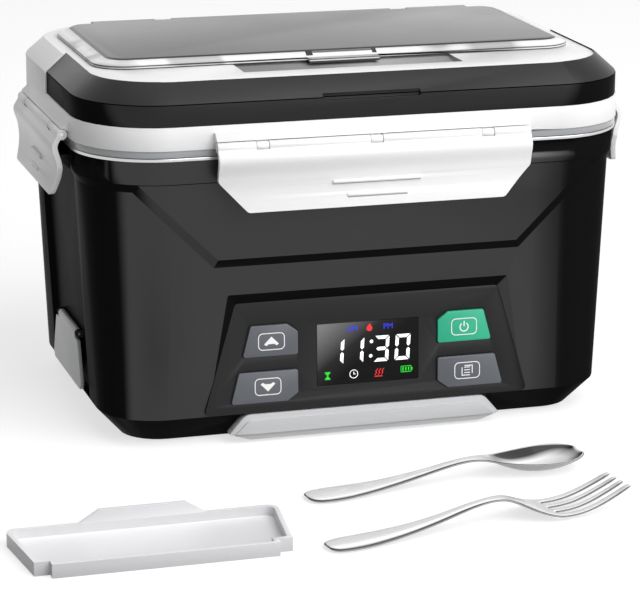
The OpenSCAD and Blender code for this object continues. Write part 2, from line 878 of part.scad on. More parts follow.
module charge_inlet() {
  y = inlet_half + inlet_wall;
  low = inlet_z - inlet_h / 2 - inlet_wall;
  high = inlet_z + inlet_h / 2 + inlet_wall;
  flange_x = -(cavity_foot_w / 2 + (low - 4 - seam_h) * end_slope) + gap;
  color("#202124") difference() {
    union() {
      box([inlet_face_x, -y, low], [inlet_back_x, y, high]);
      box([flange_x, -y - 3, low - 3], [flange_x + 2, y + 3, high + 3]);
    }
    box([inlet_face_x - 1, -inlet_half, inlet_z - inlet_h / 2],
      [inlet_face_x + inlet_deep, inlet_half, inlet_z + inlet_h / 2]);
    inlet_contacts(inlet_pin_r + 0.01);
  }
}

module inlet_contacts(r) {
  for (side = [-1, 1])
    translate([inlet_face_x + inlet_deep - 1.5, side * inlet_pin_y, inlet_z]) rod_x(r, inlet_pin_l);
}

module inlet_pins() {
  color("#c9a34a") inlet_contacts(inlet_pin_r);
}

module port_outline() {
  offset(r = 3, $fn = 32) offset(delta = -3)
    polygon([[-port_half_low, port_low], [port_half_low, port_low],
      [port_half_top, port_axis_z + 1], [-port_half_top, port_axis_z + 1]]);
}

module port_cover() {
  color("#a9abae") difference() {
    union() {
      intersection() {
        translate([port_axis_x - port_barrel_r + port_t / 2, 0, 0]) rotate([90, 0, 90])
          translate([0, 0, -port_t / 2]) linear_extrude(port_t) port_outline();
        box([-lid_w, -port_half_low, 0], [0, port_half_low, port_axis_z - port_barrel_r - 0.6]);
      }
      box([port_axis_x - port_barrel_r, -port_barrel_half, port_axis_z - port_barrel_r - 1.2],
        [port_axis_x - port_barrel_r + port_t, port_barrel_half, port_axis_z]);
      translate([port_axis_x, 0, port_axis_z]) rod_y(port_barrel_r, 2 * port_barrel_half);
      box([port_axis_x - port_barrel_r + port_t - tiny, -inlet_half + 1, inlet_z - inlet_h / 2 + 1],
        [inlet_face_x - gap, inlet_half - 1, inlet_z + inlet_h / 2 - 1]);
    }
    translate([port_axis_x, 0, port_axis_z]) rod_y(port_pin_r + pin_gap, 2 * port_barrel_half + 2);
  }
}

module port_cover_pin() {
  color("silver") translate([port_axis_x, 0, port_axis_z])
    rod_y(port_pin_r, 2 * (port_barrel_half + gap + port_ear_w - 0.3));
}

// ---- food container ----

module bowl(grow, low) {
  tapered([bowl_low_w + 2 * grow, bowl_low_d + 2 * grow, bowl_low_r + grow], low,
    [bowl_top_w + 2 * grow, bowl_top_d + 2 * grow, bowl_top_r + grow], flange_top + tiny);
}

module food_container() {
  color("#c8cacd") difference() {
    union() {
      slab(lid_w - 0.6, lid_d - 0.6, lid_r - 0.3, rim_h, flange_top);
      intersection() {
        bowl(0, container_floor_h);
        box([-lid_w, -lid_d, 0], [lid_w, lid_d, rim_h + tiny]);
      }
    }
    bowl(-container_t, container_floor_h + container_t);
  }
}

// Divider's outline as it stands in the container, with a notch at each lower corner
module divider_outline(inset) {
  low_half = divider_half_low - inset;
  notch = divider_notch + inset;
  polygon([[-low_half + divider_ear, inset], [low_half - divider_ear, inset],
    [low_half - divider_ear, notch], [low_half, notch],
    [divider_half_top - inset, divider_h - inset], [-divider_half_top + inset, divider_h - inset],
    [-low_half, notch], [-low_half + divider_ear, notch]]);
}

module container_divider() {
  color("#f0f0f0") translate(divider_place) {
    linear_extrude(divider_t) divider_outline(0);
    linear_extrude(divider_rim) difference() {
      divider_outline(0);
      divider_outline(divider_wall);
    }
    // Finger tab along the upper edge
    translate([0, divider_h, 0]) rotate([90, 0, 0]) linear_extrude(divider_wall)
      polygon([[-divider_tab_half, 0], [divider_tab_half, 0], [divider_tab_half, divider_rim],
        [divider_tab_half - 8, divider_tab], [-divider_tab_half + 8, divider_tab],
        [-divider_tab_half, divider_rim]]);
  }
}

// ---- lid ----

module lid_tiers(inset) {
  hull() {
    slab(lid_w - 2 * inset, lid_d - 2 * inset, lid_r - inset, band_top - 0.4, band_top, $fn = 32);
    slab(lid_w - 2 * inset, lid_d - 2 * inset, lid_r - inset, ridge_h - tiny, ridge_h, $fn = 32);
    slab(lid_w - 2 * (inset + slope_in), lid_d - 2 * (inset + slope_in), lid_r - inset - slope_in,
      deck_h + lip_h - tiny, deck_h + lip_h, $fn = 32);
  }
}

module at_latch(angle, reach) {
  rotate([0, 0, angle]) translate([0, reach, axis_z]) children();
}

function lug_places(half) = half > 55 ? [-0.72 * half, 0, 0.72 * half] : [-0.6 * half, 0.6 * half];

module latch_mount(half, extra) {
  face = -axis_out - extra - 0.5;
  difference() {
    union() {
      difference() {
        along_x(2 * half) polygon([[face, roof_top], [-axis_out, roof_top],
          [roof_tip_y, roof_tip_z + 0.1], [face, 1.1]]);
        rod_x(barrel_r + gap, 2 * half + 1);
      }
      for (x = lug_places(half)) translate([x, 0, 0]) {
        rod_x(barrel_r - 0.2, lug_w);
        box([-lug_w / 2, face, -axis_up + tiny], [lug_w / 2, 0, barrel_r - 0.2]);
        box([-lug_w / 2, face, 0], [lug_w / 2, -0.8, barrel_r + 1]);
      }
    }
    rod_x(pin_r + 0.02, 2 * half);
  }
}

module cover_lugs() {
  for (s = [-1, 1]) translate([s * cover_hinge_x, cover_axis_y, 0]) difference() {
    union() {
      translate([0, 0, cover_axis_z]) rod_x(cover_barrel_r, cover_hinge_w);
      box([-cover_hinge_w / 2, -cover_barrel_r, deck_h - 1],
        [cover_hinge_w / 2, cover_barrel_r, cover_axis_z]);
    }
    translate([0, 0, cover_axis_z]) rod_x(cover_pin_r + 0.02, cover_hinge_w + 1);
  }
}

module lid_frame() {
  color("#f3f3f2") {
    difference() {
      union() {
        slab(lid_w, lid_d, lid_r, band_low, band_top);
        slab(core_w, core_d, core_r, band_top - tiny, deck_h);
        intersection() {
          lid_tiers(0);
          box([-lid_w, bridge_y, 0], [lid_w, lid_d, deck_h]);
        }
      }
      // Hollow under the deck
      slab(lid_w - 2 * lid_wall, lid_d - 2 * lid_wall, lid_r - lid_wall, band_low - 1, band_top - lid_wall);
      slab(core_w - 2 * lid_wall, core_d - 2 * lid_wall, core_r - lid_wall,
        band_low - 1, deck_h - deck_t - 0.6);
      translate([0, tray_back, 0]) slab(2 * (tray_half_w + tray_wall_t), tray_d + 2 * tray_wall_t,
        tray_r + tray_wall_t, band_low, deck_h + 5);
      translate([0, scoop_y, deck_h + scoop_r - scoop_deep]) rod_x(scoop_r, 2 * scoop_half, $fn = 96);
    }
    at_latch(180, long_reach) latch_mount(long_half, long_extra);
    at_latch(0, long_reach) latch_mount(long_half, long_extra);
    at_latch(90, short_reach) latch_mount(short_half, 0);
    at_latch(-90, short_reach) latch_mount(short_half, 0);
    cover_lugs();
  }
}

module cutlery_tray() {
  outside_t = tray_wall_t - 0.1;
  color("#f3f3f2") translate([0, tray_back, 0]) difference() {
    slab(2 * (tray_half_w + outside_t), tray_d + 2 * outside_t, tray_r + outside_t,
      tray_floor_top - tray_floor_t, deck_h - 0.4);
    slab(2 * tray_half_w, tray_d, tray_r, tray_floor_top, deck_h + 1);
    translate([tray_half_w - 20, 0, 0]) cylinder(r = 4.05, h = deck_h);
  }
}

module lid_bumper() {
  color("#1c1c1d") difference() {
    intersection() {
      lid_tiers(bumper_inset);
      box([-lid_w, -lid_d, band_top], [lid_w, bridge_y - 0.1, deck_h + lip_h]);
    }
    slab(core_w + 0.1, core_d + 0.1, core_r + 0.05, band_top - 1, deck_h + lip_h + 1);
    box([-slot_half, -lid_d / 2 - 1, ridge_h - slot_h / 2],
      [slot_half, -lid_d / 2 + 2.4, ridge_h + slot_h / 2]);
  }
}

module lid_inner() {
  plug_w = bowl_top_w - 2 * container_t - 4;
  plug_d = bowl_top_d - 2 * container_t - 4;
  plug_r = bowl_top_r - 3;
  color("#8e9195") difference() {
    union() {
      slab(lid_w - 0.8, lid_d - 0.8, lid_r - 0.4, inner_low, band_low);
      slab(plug_w, plug_d, plug_r, rim_h - plug_drop + 1, inner_low + tiny);
    }
    slab(plug_w - 4, plug_d - 4, plug_r - 2, rim_h - plug_drop, inner_low + 0.6);
    difference() {
      slab(lid_w - 2 * seal_inset + seal_w, lid_d - 2 * seal_inset + seal_w, lid_r - seal_inset + seal_w / 2,
        inner_low - 1, inner_low + seal_groove);
      slab(lid_w - 2 * seal_inset - seal_w, lid_d - 2 * seal_inset - seal_w, lid_r - seal_inset - seal_w / 2,
        inner_low - 2, inner_low + seal_groove + 1);
    }
    translate([tray_half_w - 20, tray_back, 0]) cylinder(r = 4.05, h = deck_h);
  }
}

module lid_seal() {
  color("#d9dadb") difference() {
    slab(lid_w - 2 * seal_inset + seal_w - 0.1, lid_d - 2 * seal_inset + seal_w - 0.1,
      lid_r - seal_inset + seal_w / 2,
      flange_top + 0.05, inner_low + seal_groove - tiny);
    slab(lid_w - 2 * seal_inset - seal_w + 0.1, lid_d - 2 * seal_inset - seal_w + 0.1,
      lid_r - seal_inset - seal_w / 2, flange_top - 1, inner_low + seal_groove + 1);
  }
}

module steam_valve() {
  color("#d9dadb") translate([tray_half_w - 20, tray_back, 0]) difference() {
    union() {
      translate([0, 0, inner_low - 0.8]) cylinder(r = 4, h = tray_floor_top + 1.4 - inner_low + 0.8);
      translate([0, 0, tray_floor_top + tiny]) cylinder(r = 6.5, h = 1.4);
    }
    translate([0, 0, inner_low - 2]) cylinder(r = 1.2, h = 20);
  }
}

// ---- smoked cover ----

module cover_shape(shrink) {
  rim_d = cover_axis_y - cover_front_y;
  mid = (cover_axis_y + cover_front_y) / 2;
  translate([0, mid, 0]) hull() {
    slab(2 * (cover_half_w - shrink), rim_d - 2 * shrink, cover_r - shrink,
      cover_low, cover_low + cover_rim_h, $fn = 32);
    slab(2 * (cover_half_w - cover_bevel_x - shrink), rim_d - 2 * (cover_bevel_y + shrink), cover_top_r,
      cover_top - tiny - shrink, cover_top - shrink, $fn = 32);
  }
}

module utensil_cover() {
  notch = cover_hinge_w + 2 * gap;
  color("#5b5d60") difference() {
    union() {
      difference() {
        union() {
          cover_shape(0);
          box([-cover_back_half, cover_axis_y - 18, cover_low + 0.6],
            [cover_back_half, cover_axis_y, cover_top]);
          translate([0, cover_axis_y, cover_axis_z]) rod_x(cover_barrel_r, 2 * cover_back_half);
        }
        translate([0, 0, -tiny * 5]) cover_shape(cover_t);
      }
      // Finger tab over the scoop
      box([-catch_half, cover_front_y - 3.4, cover_low - 0.6],
        [catch_half, cover_front_y + 1, cover_low + 1.4]);
    }
    for (s = [-1, 1]) translate([s * cover_hinge_x - notch / 2, cover_axis_y - cover_barrel_r - gap, 0])
      cube([notch, 10, lid_w]);
    for (s = [-1, 1]) translate([s * cover_hinge_x, cover_axis_y, cover_axis_z])
      rod_x(cover_pin_r + pin_gap, cover_pin_l + 0.6);
  }
}

module cover_pins() {
  color("silver") for (s = [-1, 1]) translate([s * cover_hinge_x, cover_axis_y, cover_axis_z])
    rod_x(cover_pin_r, cover_pin_l);
}

// ---- latches ----

module latch_profile() {
  outer = smooth_line(latch_curve, 5);
  inner = [for (i = [len(outer) - 1 : -1 : 0]) outer[i] - [latch_t, 0]];
  polygon(concat(outer, inner));
}

module hook_profile() {
  slope = tan(catch_angle);
  tip_y = catch_tip_y - hook_bite;
  back_y = 1.2;
  polygon([[tip_y, catch_tip_z - catch_gap - hook_bite * slope],
    [back_y, catch_tip_z - catch_gap + (back_y - catch_tip_y) * slope],
    [back_y, -19], [tip_y + 0.6, -17.6], [tip_y, -17]]);
}

module latch_face(half, low_half) {
  offset(r = 2.5, $fn = 24) offset(delta = -2.5)
    polygon([[-half, barrel_r + 3], [half, barrel_r + 3], [half, latch_shoulder],
      [low_half, latch_tip], [-low_half, latch_tip], [-half, latch_shoulder]]);
}

module latch(half, low_half, hook_half, rib_half) {
  difference() {
    union() {
      intersection() {
        along_x(2 * half) latch_profile();
        rotate([90, 0, 0]) translate([0, 0, -20]) linear_extrude(40) latch_face(half, low_half);
      }
      rod_x(barrel_r, 2 * half);
      along_x(2 * hook_half) hook_profile();
      translate([0, 2.7, -16.3]) rod_x(rib_r, 2 * rib_half);
      translate([0, 3.1, -22]) rod_x(rib_r, 1.36 * rib_half);
    }
    rod_x(pin_r + pin_gap, 2 * half + 1);
    for (x = lug_places(half)) translate([x, 0, 0]) {
      rod_x(barrel_r + gap, lug_w + 2 * gap);
      box([-lug_w / 2 - gap, -8, -axis_up - 0.4], [lug_w / 2 + gap, 0.2, 4]);
    }
  }
}

module latch_front() {
  color("#efefee") at_latch(180, long_reach) latch(long_half, long_half - 12, long_catch_half - 2, 19);
}

module latch_rear() {
  color("#efefee") at_latch(0, long_reach) latch(long_half, long_half - 12, long_catch_half - 2, 19);
}

module latch_left() {
  color("#efefee") at_latch(90, short_reach) latch(short_half, short_half - 6.6, short_catch_half - 2, 10);
}

module latch_right() {
  color("#efefee") at_latch(-90, short_reach) latch(short_half, short_half - 6.6, short_catch_half - 2, 10);
}

module latch_pins() {
  color("silver") {
    for (a = [0, 180]) at_latch(a, long_reach) rod_x(pin_r, 2 * long_half - 1);
    for (a = [90, -90]) at_latch(a, short_reach) rod_x(pin_r, 2 * short_half - 1);
  }
}

// ---- cutlery, lying on the table ----

function other_side(half) = [for (i = [len(half) - 1 : -1 : 0]) [half[i][0], -half[i][1]]];
function raised(line, t) = [for (i = [len(line) - 1 : -1 : 0]) line[i] + [0, t]];

// Strip that follows a side line and keeps within half widths along its length
module cutlery_blank(line, half) {
  side = smooth_line(line, 4);
  edge = smooth_line(half, 3);
  intersection() {
    rotate([90, 0, 0]) translate([0, 0, -20])
      linear_extrude(40) polygon(concat(side, raised(side, cutlery_t)));
    translate([0, 0, -1]) linear_extrude(20) polygon(concat(edge, other_side(edge)));
  }
}

// Solid egg through the given levels, its narrow end towards the handle
module spoon_bowl(levels) {
  translate([spoon_bowl_x, 0, 0]) hull() for (l = levels) translate([0, 0, l[2]])
    linear_extrude(tiny, $fn = 32) {
      translate([l[1], 0]) circle(l[0]);
      translate([-l[1], 0]) circle(0.62 * l[0]);
    }
}

module spoon() {
  color("#c9ccd0") translate(spoon_place) rotate([0, 0, spoon_turn]) {
    difference() {
      spoon_bowl(bowl_outside);
      spoon_bowl(bowl_inside);
    }
    cutlery_blank(spoon_line, spoon_half);
  }
}

module fork() {
  color("#c9ccd0") translate(fork_place) rotate([0, 0, fork_turn]) difference() {
    cutlery_blank(fork_line, fork_half);
    for (i = [-1 : 1]) translate([tine_root, i * tine_pitch - tine_slot / 2, -1]) cube([50, tine_slot, 30]);
  }
}

outer_shell();
base_tray();
front_strip();
rubber_feet();
base_screws();
control_panel();
display_lens();
display_module();
key_up();
key_down();
key_power();
key_menu();
control_board();
tact_switches();
well_liner();
heating_plate();
heating_elements();
thermostat();
heat_shield();
battery_holder();
battery_cells();
power_board();
power_parts();
charge_inlet();
inlet_pins();
port_cover();
port_cover_pin();
food_container();
container_divider();
lid_frame();
cutlery_tray();
lid_bumper();
lid_inner();
lid_seal();
steam_valve();
utensil_cover();
cover_pins();
latch_front();
latch_rear();
latch_left();
latch_right();
latch_pins();
spoon();
fork();
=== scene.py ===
import json
import math

import bpy
from mathutils import Matrix, Vector


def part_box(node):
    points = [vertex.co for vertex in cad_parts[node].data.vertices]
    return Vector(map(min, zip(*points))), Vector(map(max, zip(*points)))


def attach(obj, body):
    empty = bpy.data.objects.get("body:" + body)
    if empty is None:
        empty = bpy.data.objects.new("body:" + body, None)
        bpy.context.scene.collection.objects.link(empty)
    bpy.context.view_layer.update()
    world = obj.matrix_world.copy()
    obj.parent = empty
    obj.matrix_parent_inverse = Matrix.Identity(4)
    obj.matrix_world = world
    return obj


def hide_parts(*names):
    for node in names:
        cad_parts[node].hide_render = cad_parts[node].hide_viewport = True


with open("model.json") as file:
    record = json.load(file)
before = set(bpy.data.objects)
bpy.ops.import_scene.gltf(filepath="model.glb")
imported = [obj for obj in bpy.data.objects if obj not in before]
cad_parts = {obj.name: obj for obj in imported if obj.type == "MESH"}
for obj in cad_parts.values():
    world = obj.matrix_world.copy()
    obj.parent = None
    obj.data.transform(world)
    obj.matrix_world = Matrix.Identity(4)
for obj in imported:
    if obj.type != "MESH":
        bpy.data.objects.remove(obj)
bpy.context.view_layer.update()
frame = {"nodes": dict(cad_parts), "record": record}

milli = 0.001
print("stage: frame loaded")


cameraSettings = {
    "yaw": 16.73,  # degrees to the right of straight ahead
    "pitch": 15.39,  # degrees downwards
    "roll": 0.31,
    "target": (1.83, 0, 39.39),  # mm, what the camera looks at
    "distance": 1276.85,  # mm
    "lens": 160.48,
}


def addCamera(s):
    yaw, pitch, roll = (math.radians(s[k]) for k in ("yaw", "pitch", "roll"))
    ahead = Vector((math.sin(yaw) * math.cos(pitch), math.cos(yaw) * math.cos(pitch), -math.sin(pitch)))
    right = ahead.cross(Vector((0, 0, 1))).normalized()
    up = right.cross(ahead)
    rolledRight = math.cos(roll) * right + math.sin(roll) * up
    rolledUp = -math.sin(roll) * right + math.cos(roll) * up
    place = (Vector(s["target"]) - s["distance"] * ahead) * milli
    bpy.ops.object.camera_add()
    camera = bpy.context.object
    turn = Matrix((rolledRight, rolledUp, -ahead)).transposed().to_4x4()
    camera.matrix_world = Matrix.Translation(place) @ turn
    camera.data.lens = s["lens"]
    camera.data.sensor_width = 36
    camera.data.clip_end = 20
    bpy.context.scene.camera = camera


addCamera(cameraSettings)
bpy.context.scene.view_settings.view_transform = "Standard"
print("stage: camera set")


# Small helpers for wiring nodes: each one gives back the socket that comes out
def mathOn(tree, operation, *values, clamp=False):
    node = tree.nodes.new("ShaderNodeMath")
    node.operation = operation
    node.use_clamp = clamp
    for socket, value in zip(node.inputs, values):
        if isinstance(value, (int, float)):
            socket.default_value = value
        else:
            tree.links.new(value, socket)
    return node.outputs[0]


def spread(tree, value, low=0.0, high=1.0, start=0.0, end=1.0, way="LINEAR"):
    span = tree.nodes.new("ShaderNodeMapRange")
    span.interpolation_type = way
    for name, number in (("From Min", low), ("From Max", high), ("To Min", start), ("To Max", end)):
        span.inputs[name].default_value = number
    tree.links.new(value, span.inputs["Value"])
    return span.outputs["Result"]


def rampOver(tree, value, stops):
    ramp = tree.nodes.new("ShaderNodeValToRGB")
    elements = ramp.color_ramp.elements
    while len(elements) < len(stops):
        elements.new(1.0)
    for element, (place, shade) in zip(elements, stops):
        element.position = place
        element.color = (shade, shade, shade, 1)
    tree.links.new(value, ramp.inputs["Fac"])
    return ramp.outputs["Color"]


def facingUp(tree):
    coords = tree.nodes.new("ShaderNodeTexCoord")
    parts = tree.nodes.new("ShaderNodeSeparateXYZ")
    tree.links.new(coords.outputs["Normal"], parts.inputs["Vector"])
    return parts.outputs["Z"]


def alongAxis(tree, axis, low, high):
    coords = tree.nodes.new("ShaderNodeTexCoord")
    dot = tree.nodes.new("ShaderNodeVectorMath")
    dot.operation = "DOT_PRODUCT"
    dot.inputs[1].default_value = axis
    tree.links.new(coords.outputs["Object"], dot.inputs[0])
    return spread(tree, dot.outputs["Value"], low * milli, high * milli)


def inBox(tree, middle, half):
    coords = tree.nodes.new("ShaderNodeTexCoord")
    parts = tree.nodes.new("ShaderNodeSeparateXYZ")
    tree.links.new(coords.outputs["Object"], parts.inputs["Vector"])
    near = [mathOn(tree, "COMPARE", parts.outputs[axis], at * milli, reach * milli)
            for axis, at, reach in zip("XYZ", middle, half)]
    return mathOn(tree, "MULTIPLY", mathOn(tree, "MULTIPLY", near[0], near[1]), near[2])


def tintBase(tree, shade, blend="MIX", amount=None):
    base = tree.nodes["Principled BSDF"].inputs["Base Color"]
    mix = tree.nodes.new("ShaderNodeMix")
    mix.data_type = "RGBA"
    mix.blend_type = blend
    mix.inputs["Factor"].default_value = 1.0
    tree.links.new(base.links[0].from_socket, mix.inputs["A"])
    if isinstance(shade, float):
        mix.inputs["B"].default_value = (shade, shade, shade, 1)
    else:
        tree.links.new(shade, mix.inputs["B"])
    if amount:
        tree.links.new(amount, mix.inputs["Factor"])
    tree.links.new(mix.outputs["Result"], base)


# Fine moulding grain for the bump, and slow clouds that vary roughness and colour
grainSettings = {
    "inputs": {"grainScale": 1500, "grainDepth": 0.1, "smooth": 0.3, "dull": 0.4},
    "outputs": {"roughness": "NodeSocketFloat", "normal": "NodeSocketVector", "mottle": "NodeSocketFloat"},
    "cloudScale": 22, "cloudDetail": 3, "cloudRange": (0.3, 0.7),
    "bumpHeight": 0.0002,  # metres
}


def buildGrain(s):
    group = bpy.data.node_groups.new("surfaceGrain", "ShaderNodeTree")
    for name, value in s["inputs"].items():
        socket = group.interface.new_socket(name=name, in_out="INPUT", socket_type="NodeSocketFloat")
        socket.default_value = value
    for name, kind in s["outputs"].items():
        group.interface.new_socket(name=name, in_out="OUTPUT", socket_type=kind)
    add = group.nodes.new
    link = group.links.new
    start, end = add("NodeGroupInput"), add("NodeGroupOutput")
    coords = add("ShaderNodeTexCoord")
    grain, cloud = add("ShaderNodeTexNoise"), add("ShaderNodeTexNoise")
    cloud.inputs["Scale"].default_value = s["cloudScale"]
    cloud.inputs["Detail"].default_value = s["cloudDetail"]
    link(coords.outputs["Object"], grain.inputs["Vector"])
    link(coords.outputs["Object"], cloud.inputs["Vector"])
    link(start.outputs["grainScale"], grain.inputs["Scale"])
    bump = add("ShaderNodeBump")
    bump.inputs["Distance"].default_value = s["bumpHeight"]
    link(start.outputs["grainDepth"], bump.inputs["Strength"])
    link(grain.outputs["Fac"], bump.inputs["Height"])
    span = add("ShaderNodeMapRange")
    link(cloud.outputs["Fac"], span.inputs["Value"])
    span.inputs["From Min"].default_value, span.inputs["From Max"].default_value = s["cloudRange"]
    link(start.outputs["smooth"], span.inputs["To Min"])
    link(start.outputs["dull"], span.inputs["To Max"])
    link(span.outputs["Result"], end.inputs["roughness"])
    link(bump.outputs["Normal"], end.inputs["normal"])
    link(cloud.outputs["Fac"], end.inputs["mottle"])
    return group


surfaceGrain = buildGrain(grainSettings)


# Over the clouds the roughness runs from smooth to dull, and the colour down to its shade share.
# At a glancing angle a moulded texture loses its sheen: fade is where that starts and ends, and what stays
def makeFinish(name, color, smooth, dull, grainScale=1500, grainDepth=0.1, shade=0.93, metallic=0.0,
               coat=0.0, specular=0.5, emission=0.0, fade=None):
    material = bpy.data.materials.new(name)
    material.use_nodes = True
    tree = material.node_tree
    shader = tree.nodes["Principled BSDF"]
    shader.inputs["Metallic"].default_value = metallic
    shader.inputs["Coat Weight"].default_value = coat
    shader.inputs["Coat Roughness"].default_value = 0.05
    shader.inputs["IOR"].default_value = 1.5
    shader.inputs["Specular IOR Level"].default_value = specular
    grain = tree.nodes.new("ShaderNodeGroup")
    grain.node_tree = surfaceGrain
    grain.inputs["grainScale"].default_value = grainScale
    grain.inputs["grainDepth"].default_value = grainDepth
    grain.inputs["smooth"].default_value = smooth
    grain.inputs["dull"].default_value = dull
    mix = tree.nodes.new("ShaderNodeMix")
    mix.data_type = "RGBA"
    mix.inputs["A"].default_value = (*color, 1)
    mix.inputs["B"].default_value = (*(c * shade for c in color), 1)
    tree.links.new(grain.outputs["mottle"], mix.inputs["Factor"])
    tree.links.new(mix.outputs["Result"], shader.inputs["Base Color"])
    tree.links.new(grain.outputs["roughness"], shader.inputs["Roughness"])
    tree.links.new(grain.outputs["normal"], shader.inputs["Normal"])
    if fade:
        glance = tree.nodes.new("ShaderNodeLayerWeight")
        sheen = spread(tree, glance.outputs["Facing"], fade[0], fade[1], specular, fade[2], "SMOOTHSTEP")
        tree.links.new(sheen, shader.inputs["Specular IOR Level"])
    if emission:
        shader.inputs["Emission Color"].default_value = (*color, 1)
        shader.inputs["Emission Strength"].default_value = emission
    return material


# One finish for each material slot: colour, smooth, dull, grain scale, grain depth, shade
finishes = {
    "black_shell": makeFinish("satinBlack", (0.0075, 0.0075, 0.0078), 0.30, 0.38, 2600, 0.10, 0.85,
                              fade=(0.105, 0.19, 0.003)),
    "panel_black": makeFinish("panelBlack", (0.006, 0.006, 0.0065), 0.34, 0.42, 2600, 0.10, 0.88,
                              specular=0.3, fade=(0.12, 0.24, 0.02)),
    "display_glass": makeFinish("displayGlass", (0.004, 0.004, 0.005), 0.2, 0.26, 600, 0.01, 0.8,
                                specular=0.12),
    "dark_part": makeFinish("darkMoulding", (0.05, 0.05, 0.053), 0.45, 0.6, 1200, 0.12, 0.85),
    "key_grey": makeFinish("keyGrey", (0.105, 0.112, 0.128), 0.32, 0.42, 2200, 0.08, 0.93),
    "key_green": makeFinish("keyGreen", (0.022, 0.44, 0.25), 0.3, 0.4, 2200, 0.08, 0.93),
    "light_grey": makeFinish("paleGrey", (0.56, 0.565, 0.575), 0.3, 0.4, 2000, 0.06, 0.96),
    "white_plastic": makeFinish("glossWhite", (0.86, 0.86, 0.86), 0.3, 0.36, 1400, 0.02, 0.985,
                                specular=0.4),
    "clear_grey": makeFinish("clearGrey", (0.33, 0.34, 0.35), 0.12, 0.2, 900, 0.03, 0.95, coat=0.5),
    "smoked": makeFinish("smokedPlate", (0.035, 0.035, 0.036), 0.12, 0.2, 700, 0.015, 0.92, specular=0.33),
    "silicone": makeFinish("paleSilicone", (0.6, 0.6, 0.61), 0.5, 0.65, 900, 0.12, 0.93),
    "foot_rubber": makeFinish("footRubber", (0.02, 0.02, 0.02), 0.65, 0.8, 1600, 0.25, 0.8),
    "steel": makeFinish("brushedSteel", (0.62, 0.62, 0.63), 0.22, 0.34, 1800, 0.10, 0.92, metallic=1.0),
    "polished_steel": makeFinish("polishedSteel", (0.80, 0.80, 0.81), 0.05, 0.09, 500, 0.006, 0.97,
                                 metallic=1.0),
    "heater_aluminium": makeFinish("milledAluminium", (0.68, 0.69, 0.7), 0.35, 0.5, 900, 0.15, 0.9,
                                   metallic=1.0),
    "ceramic_heater": makeFinish("ceramicHeater", (0.62, 0.5, 0.32), 0.6, 0.75, 800, 0.2, 0.85),
    "board_green": makeFinish("boardGreen", (0.02, 0.16, 0.06), 0.4, 0.55, 300, 0.1, 0.8),
    "cell_wrap": makeFinish("cellWrap", (0.05, 0.22, 0.5), 0.2, 0.3, 500, 0.04, 0.9),
    "brass_pin": makeFinish("brassPin", (0.62, 0.45, 0.18), 0.2, 0.3, 700, 0.05, 0.9, metallic=1.0),
}

# Finishes of single pieces and of the lit marks
guardBlack = makeFinish("guardBlack", (0.007, 0.007, 0.0073), 0.3, 0.38, 2600, 0.10, 0.85, specular=0.3)
tableSteel = makeFinish("tableSteel", (0.97, 0.97, 0.98), 0.1, 0.16, 500, 0.006, 0.98, metallic=0.15)
clipWhite = makeFinish("clipWhite", (0.86, 0.86, 0.86), 0.28, 0.34, 1400, 0.02, 0.985, specular=0.45)
deckWhite = makeFinish("deckWhite", (0.86, 0.86, 0.86), 0.3, 0.36, 1400, 0.02, 0.985, specular=0.4)
dividerWhite = makeFinish("dividerWhite", (0.85, 0.85, 0.87), 0.32, 0.4, 1400, 0.02, 0.985, specular=0.4)
# The key print glows a little: painted light, as the keys hold no lamp
markWhite = makeFinish("markWhite", (0.85, 0.85, 0.85), 0.5, 0.6, 900, 0.02, 0.97, emission=0.12)
litWhite = makeFinish("litWhite", (0.95, 0.97, 1.0), 0.5, 0.6, 900, 0.01, 0.98, emission=0.62)
litBlue = makeFinish("litBlue", (0.02, 0.03, 0.6), 0.5, 0.6, 900, 0.01, 0.9, emission=0.6)
litRed = makeFinish("litRed", (0.7, 0.02, 0.02), 0.5, 0.6, 900, 0.01, 0.9, emission=0.5)
litGreen = makeFinish("litGreen", (0.01, 0.5, 0.02), 0.5, 0.6, 900, 0.01, 0.9, emission=0.6)

# Heights in the shading below are mm from here, up positive
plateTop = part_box("utensil_cover")[1][2] / milli

# Painted reflection: the body's sheen is dimmed by its place along x, so that it dies away softly before its
# right front corner
cornerSheenPainting = {"from": 73, "to": 89, "sheen": [(0.0, 1.0), (0.5, 0.62), (1.0, 0.2)]}


def paintCornerSheen(tree, s):
    shine = tree.nodes["Principled BSDF"].inputs["Specular IOR Level"]
    corner = rampOver(tree, alongAxis(tree, (1, 0, 0), s["from"], s["to"]), s["sheen"])
    tree.links.new(mathOn(tree, "MULTIPLY", shine.links[0].from_socket, corner), shine)


paintCornerSheen(finishes["black_shell"].node_tree, cornerSheenPainting)

# The smoked plate is thick clear plastic: its edge has a painted highlight in streaks between two painted
# dark lines, standing in for the light it gathers
coverPaintedLight = {
    "edgeHigh": 3.9,
    "edge": [(0.0, 0.04), (0.08, 0.04), (0.12, 0.8), (0.2, 0.75), (0.24, 0.12), (0.34, 0.1), (0.4, 0.75),
             (0.6, 0.9), (0.84, 0.7), (0.88, 0.02), (0.97, 0.02), (0.98, 0.06)],
    "edgeEnds": [(0.97, 1.0), (0.98, 0.0)],
    "outside": [(0.45, 0.0), (0.49, 1.0)],  # leaves out the faces that look down
    "streakScale": 24,
    "streaks": [(0.4, 0.5), (0.48, 1.0), (0.6, 1.0), (0.66, 0.6)],
    "notch": [  # painted shade over the finger tab: middle, half size and shade
        ((0, -36.5, -0.85), (15.2, 4, 0.28), 0.14),
        ((-14.2, -36.5, -1.1), (1.5, 4, 0.8), 0.015),
        ((14.6, -36.5, -1.1), (1.0, 4, 0.8), 0.03),
    ],
}


